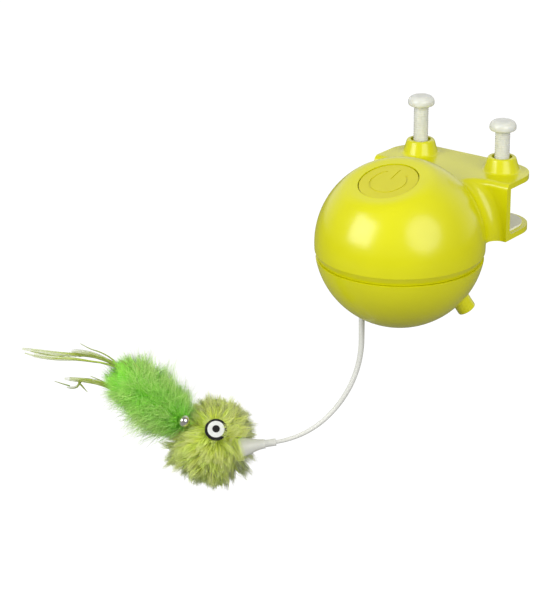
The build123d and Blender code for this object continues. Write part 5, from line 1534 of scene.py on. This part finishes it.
@dataclass(frozen=True)
class Studio:
    """White sweep, two soft boxes and an even sky.

    Attributes:
        floor_z, floor_r: height and radius of the floor, in metres.
        floor_tone, floor_glow, floor_share: its shade, its glow, and how much of that is seen.
        ambient, front, front_fade: strength of the sky behind and in front, and the way to the front.
        room, backdrop, backdrop_edge: strength of the room in mirrors, and the way to the backdrop.
        boxes: the soft boxes.
    """

    floor_z: float = -0.215
    floor_r: float = 6.0
    floor_tone: str = "#9A9A9A"
    floor_glow: float = 1.4
    floor_share: float = 0.72
    ambient: tuple[float, float] = (0.34, 0.56)
    front: tuple[float, float, float] = (0.57, -0.73, 0.37)
    front_fade: tuple[float, float] = (-0.4, 0.9)
    room: float = 0.3
    backdrop: tuple[float, float, float] = (-0.43, 0.9, 0.0)
    backdrop_edge: tuple[float, float] = (0.15, 0.65)
    boxes: tuple[SoftBox, ...] = (
        SoftBox("left_soft_box", (-0.352, -0.838, 0.416), 0.9, (0.54, 0.52), 5.3),
        SoftBox("right_soft_box", (0.835, -0.305, 0.458), 1.0, (0.86, 0.86), 2.9, Face.ROUND),
    )

    def world(self) -> None:
        """Light the scene evenly; camera, glass and metal see the white backdrop.

        Mirror rays that go towards the backdrop meet white, and those that go back into
        the room meet its dimmer walls, as in a real studio.
        """
        world = bpy.data.worlds.new("studio_sky")
        bpy.context.scene.world = world
        world.use_nodes = True
        tree = world.node_tree
        shader = tree.nodes["Background"]
        path = add_node(tree, "ShaderNodeLightPath").outputs
        way = add_node(tree, "ShaderNodeTexCoord").outputs["Generated"]
        toward, before = (
            add_node(tree, "ShaderNodeVectorMath", {1: axis}, {0: way}, operation="DOT_PRODUCT")
            for axis in (self.backdrop, self.front)
        )
        mirrored, even = (
            add_node(
                tree,
                "ShaderNodeMapRange",
                {"From Min": low, "From Max": high, "To Min": least, "To Max": most},
                {"Value": source.outputs["Value"]},
            ).outputs["Result"]
            for source, low, high, least, most in (
                (toward, *self.backdrop_edge, self.room, 1.0),
                (before, *self.front_fade, *self.ambient),
            )
        )
        glossy = add_node(tree, "ShaderNodeMix", links={0: path["Is Glossy Ray"], 2: even, 3: mirrored})
        straight = {0: path["Is Camera Ray"], 1: path["Is Transmission Ray"]}
        plain = add_node(tree, "ShaderNodeMath", links=straight, operation="MAXIMUM").outputs["Value"]
        strength = add_node(tree, "ShaderNodeMix", {3: 1.0}, {0: plain, 2: glossy.outputs["Result"]})
        shader.inputs["Color"].default_value = (1.0, 1.0, 1.0, 1.0)
        tree.links.new(strength.outputs["Result"], shader.inputs["Strength"])

    def floor(self) -> None:
        """Lay the white floor, which shows a soft shadow and otherwise stays white."""
        shape = bmesh.new()
        bmesh.ops.create_circle(shape, cap_ends=True, segments=64, radius=self.floor_r)
        bmesh.ops.translate(shape, verts=shape.verts, vec=Vector((0.0, 0.0, self.floor_z)))
        mesh = bpy.data.meshes.new("studio_floor")
        shape.to_mesh(mesh)
        shape.free()
        material = bpy.data.materials.new("white_paper_sweep")
        material.use_nodes = True
        tree = material.node_tree
        tree.nodes.remove(tree.nodes["Principled BSDF"])
        seen = add_node(tree, "ShaderNodeLightPath").outputs["Is Camera Ray"]
        matt = add_node(tree, "ShaderNodeBsdfDiffuse", {"Color": linear(self.floor_tone)}).outputs["BSDF"]
        glow = add_node(tree, "ShaderNodeEmission", {"Strength": self.floor_glow}).outputs["Emission"]
        share = add_node(tree, "ShaderNodeMath", {1: self.floor_share}, {0: seen}, operation="MULTIPLY")
        mix = add_node(tree, "ShaderNodeMixShader", links={0: share.outputs["Value"], 1: matt, 2: glow})
        tree.links.new(mix.outputs["Shader"], tree.nodes["Material Output"].inputs["Surface"])
        mesh.materials.append(material)
        add_object("studio_floor", mesh)

    def build(self) -> None:
        """Set up floor, sky and lights."""
        self.world()
        self.floor()
        for box in self.boxes:
            box.build()
        bpy.context.scene.view_settings.view_transform = "Standard"


def main() -> None:
    """Build the looks of the whole toy."""
    logging.basicConfig(level=logging.INFO, format="%(name)s: %(message)s")
    ProductCamera().build()
    Studio().build()
    Housing().dress()
    Drive().dress()
    TurningHalf().dress()
    PlushBall().build()
    FeatherTuft().build()
    LongFeathers().build()


if __name__ == "__main__":
    main()
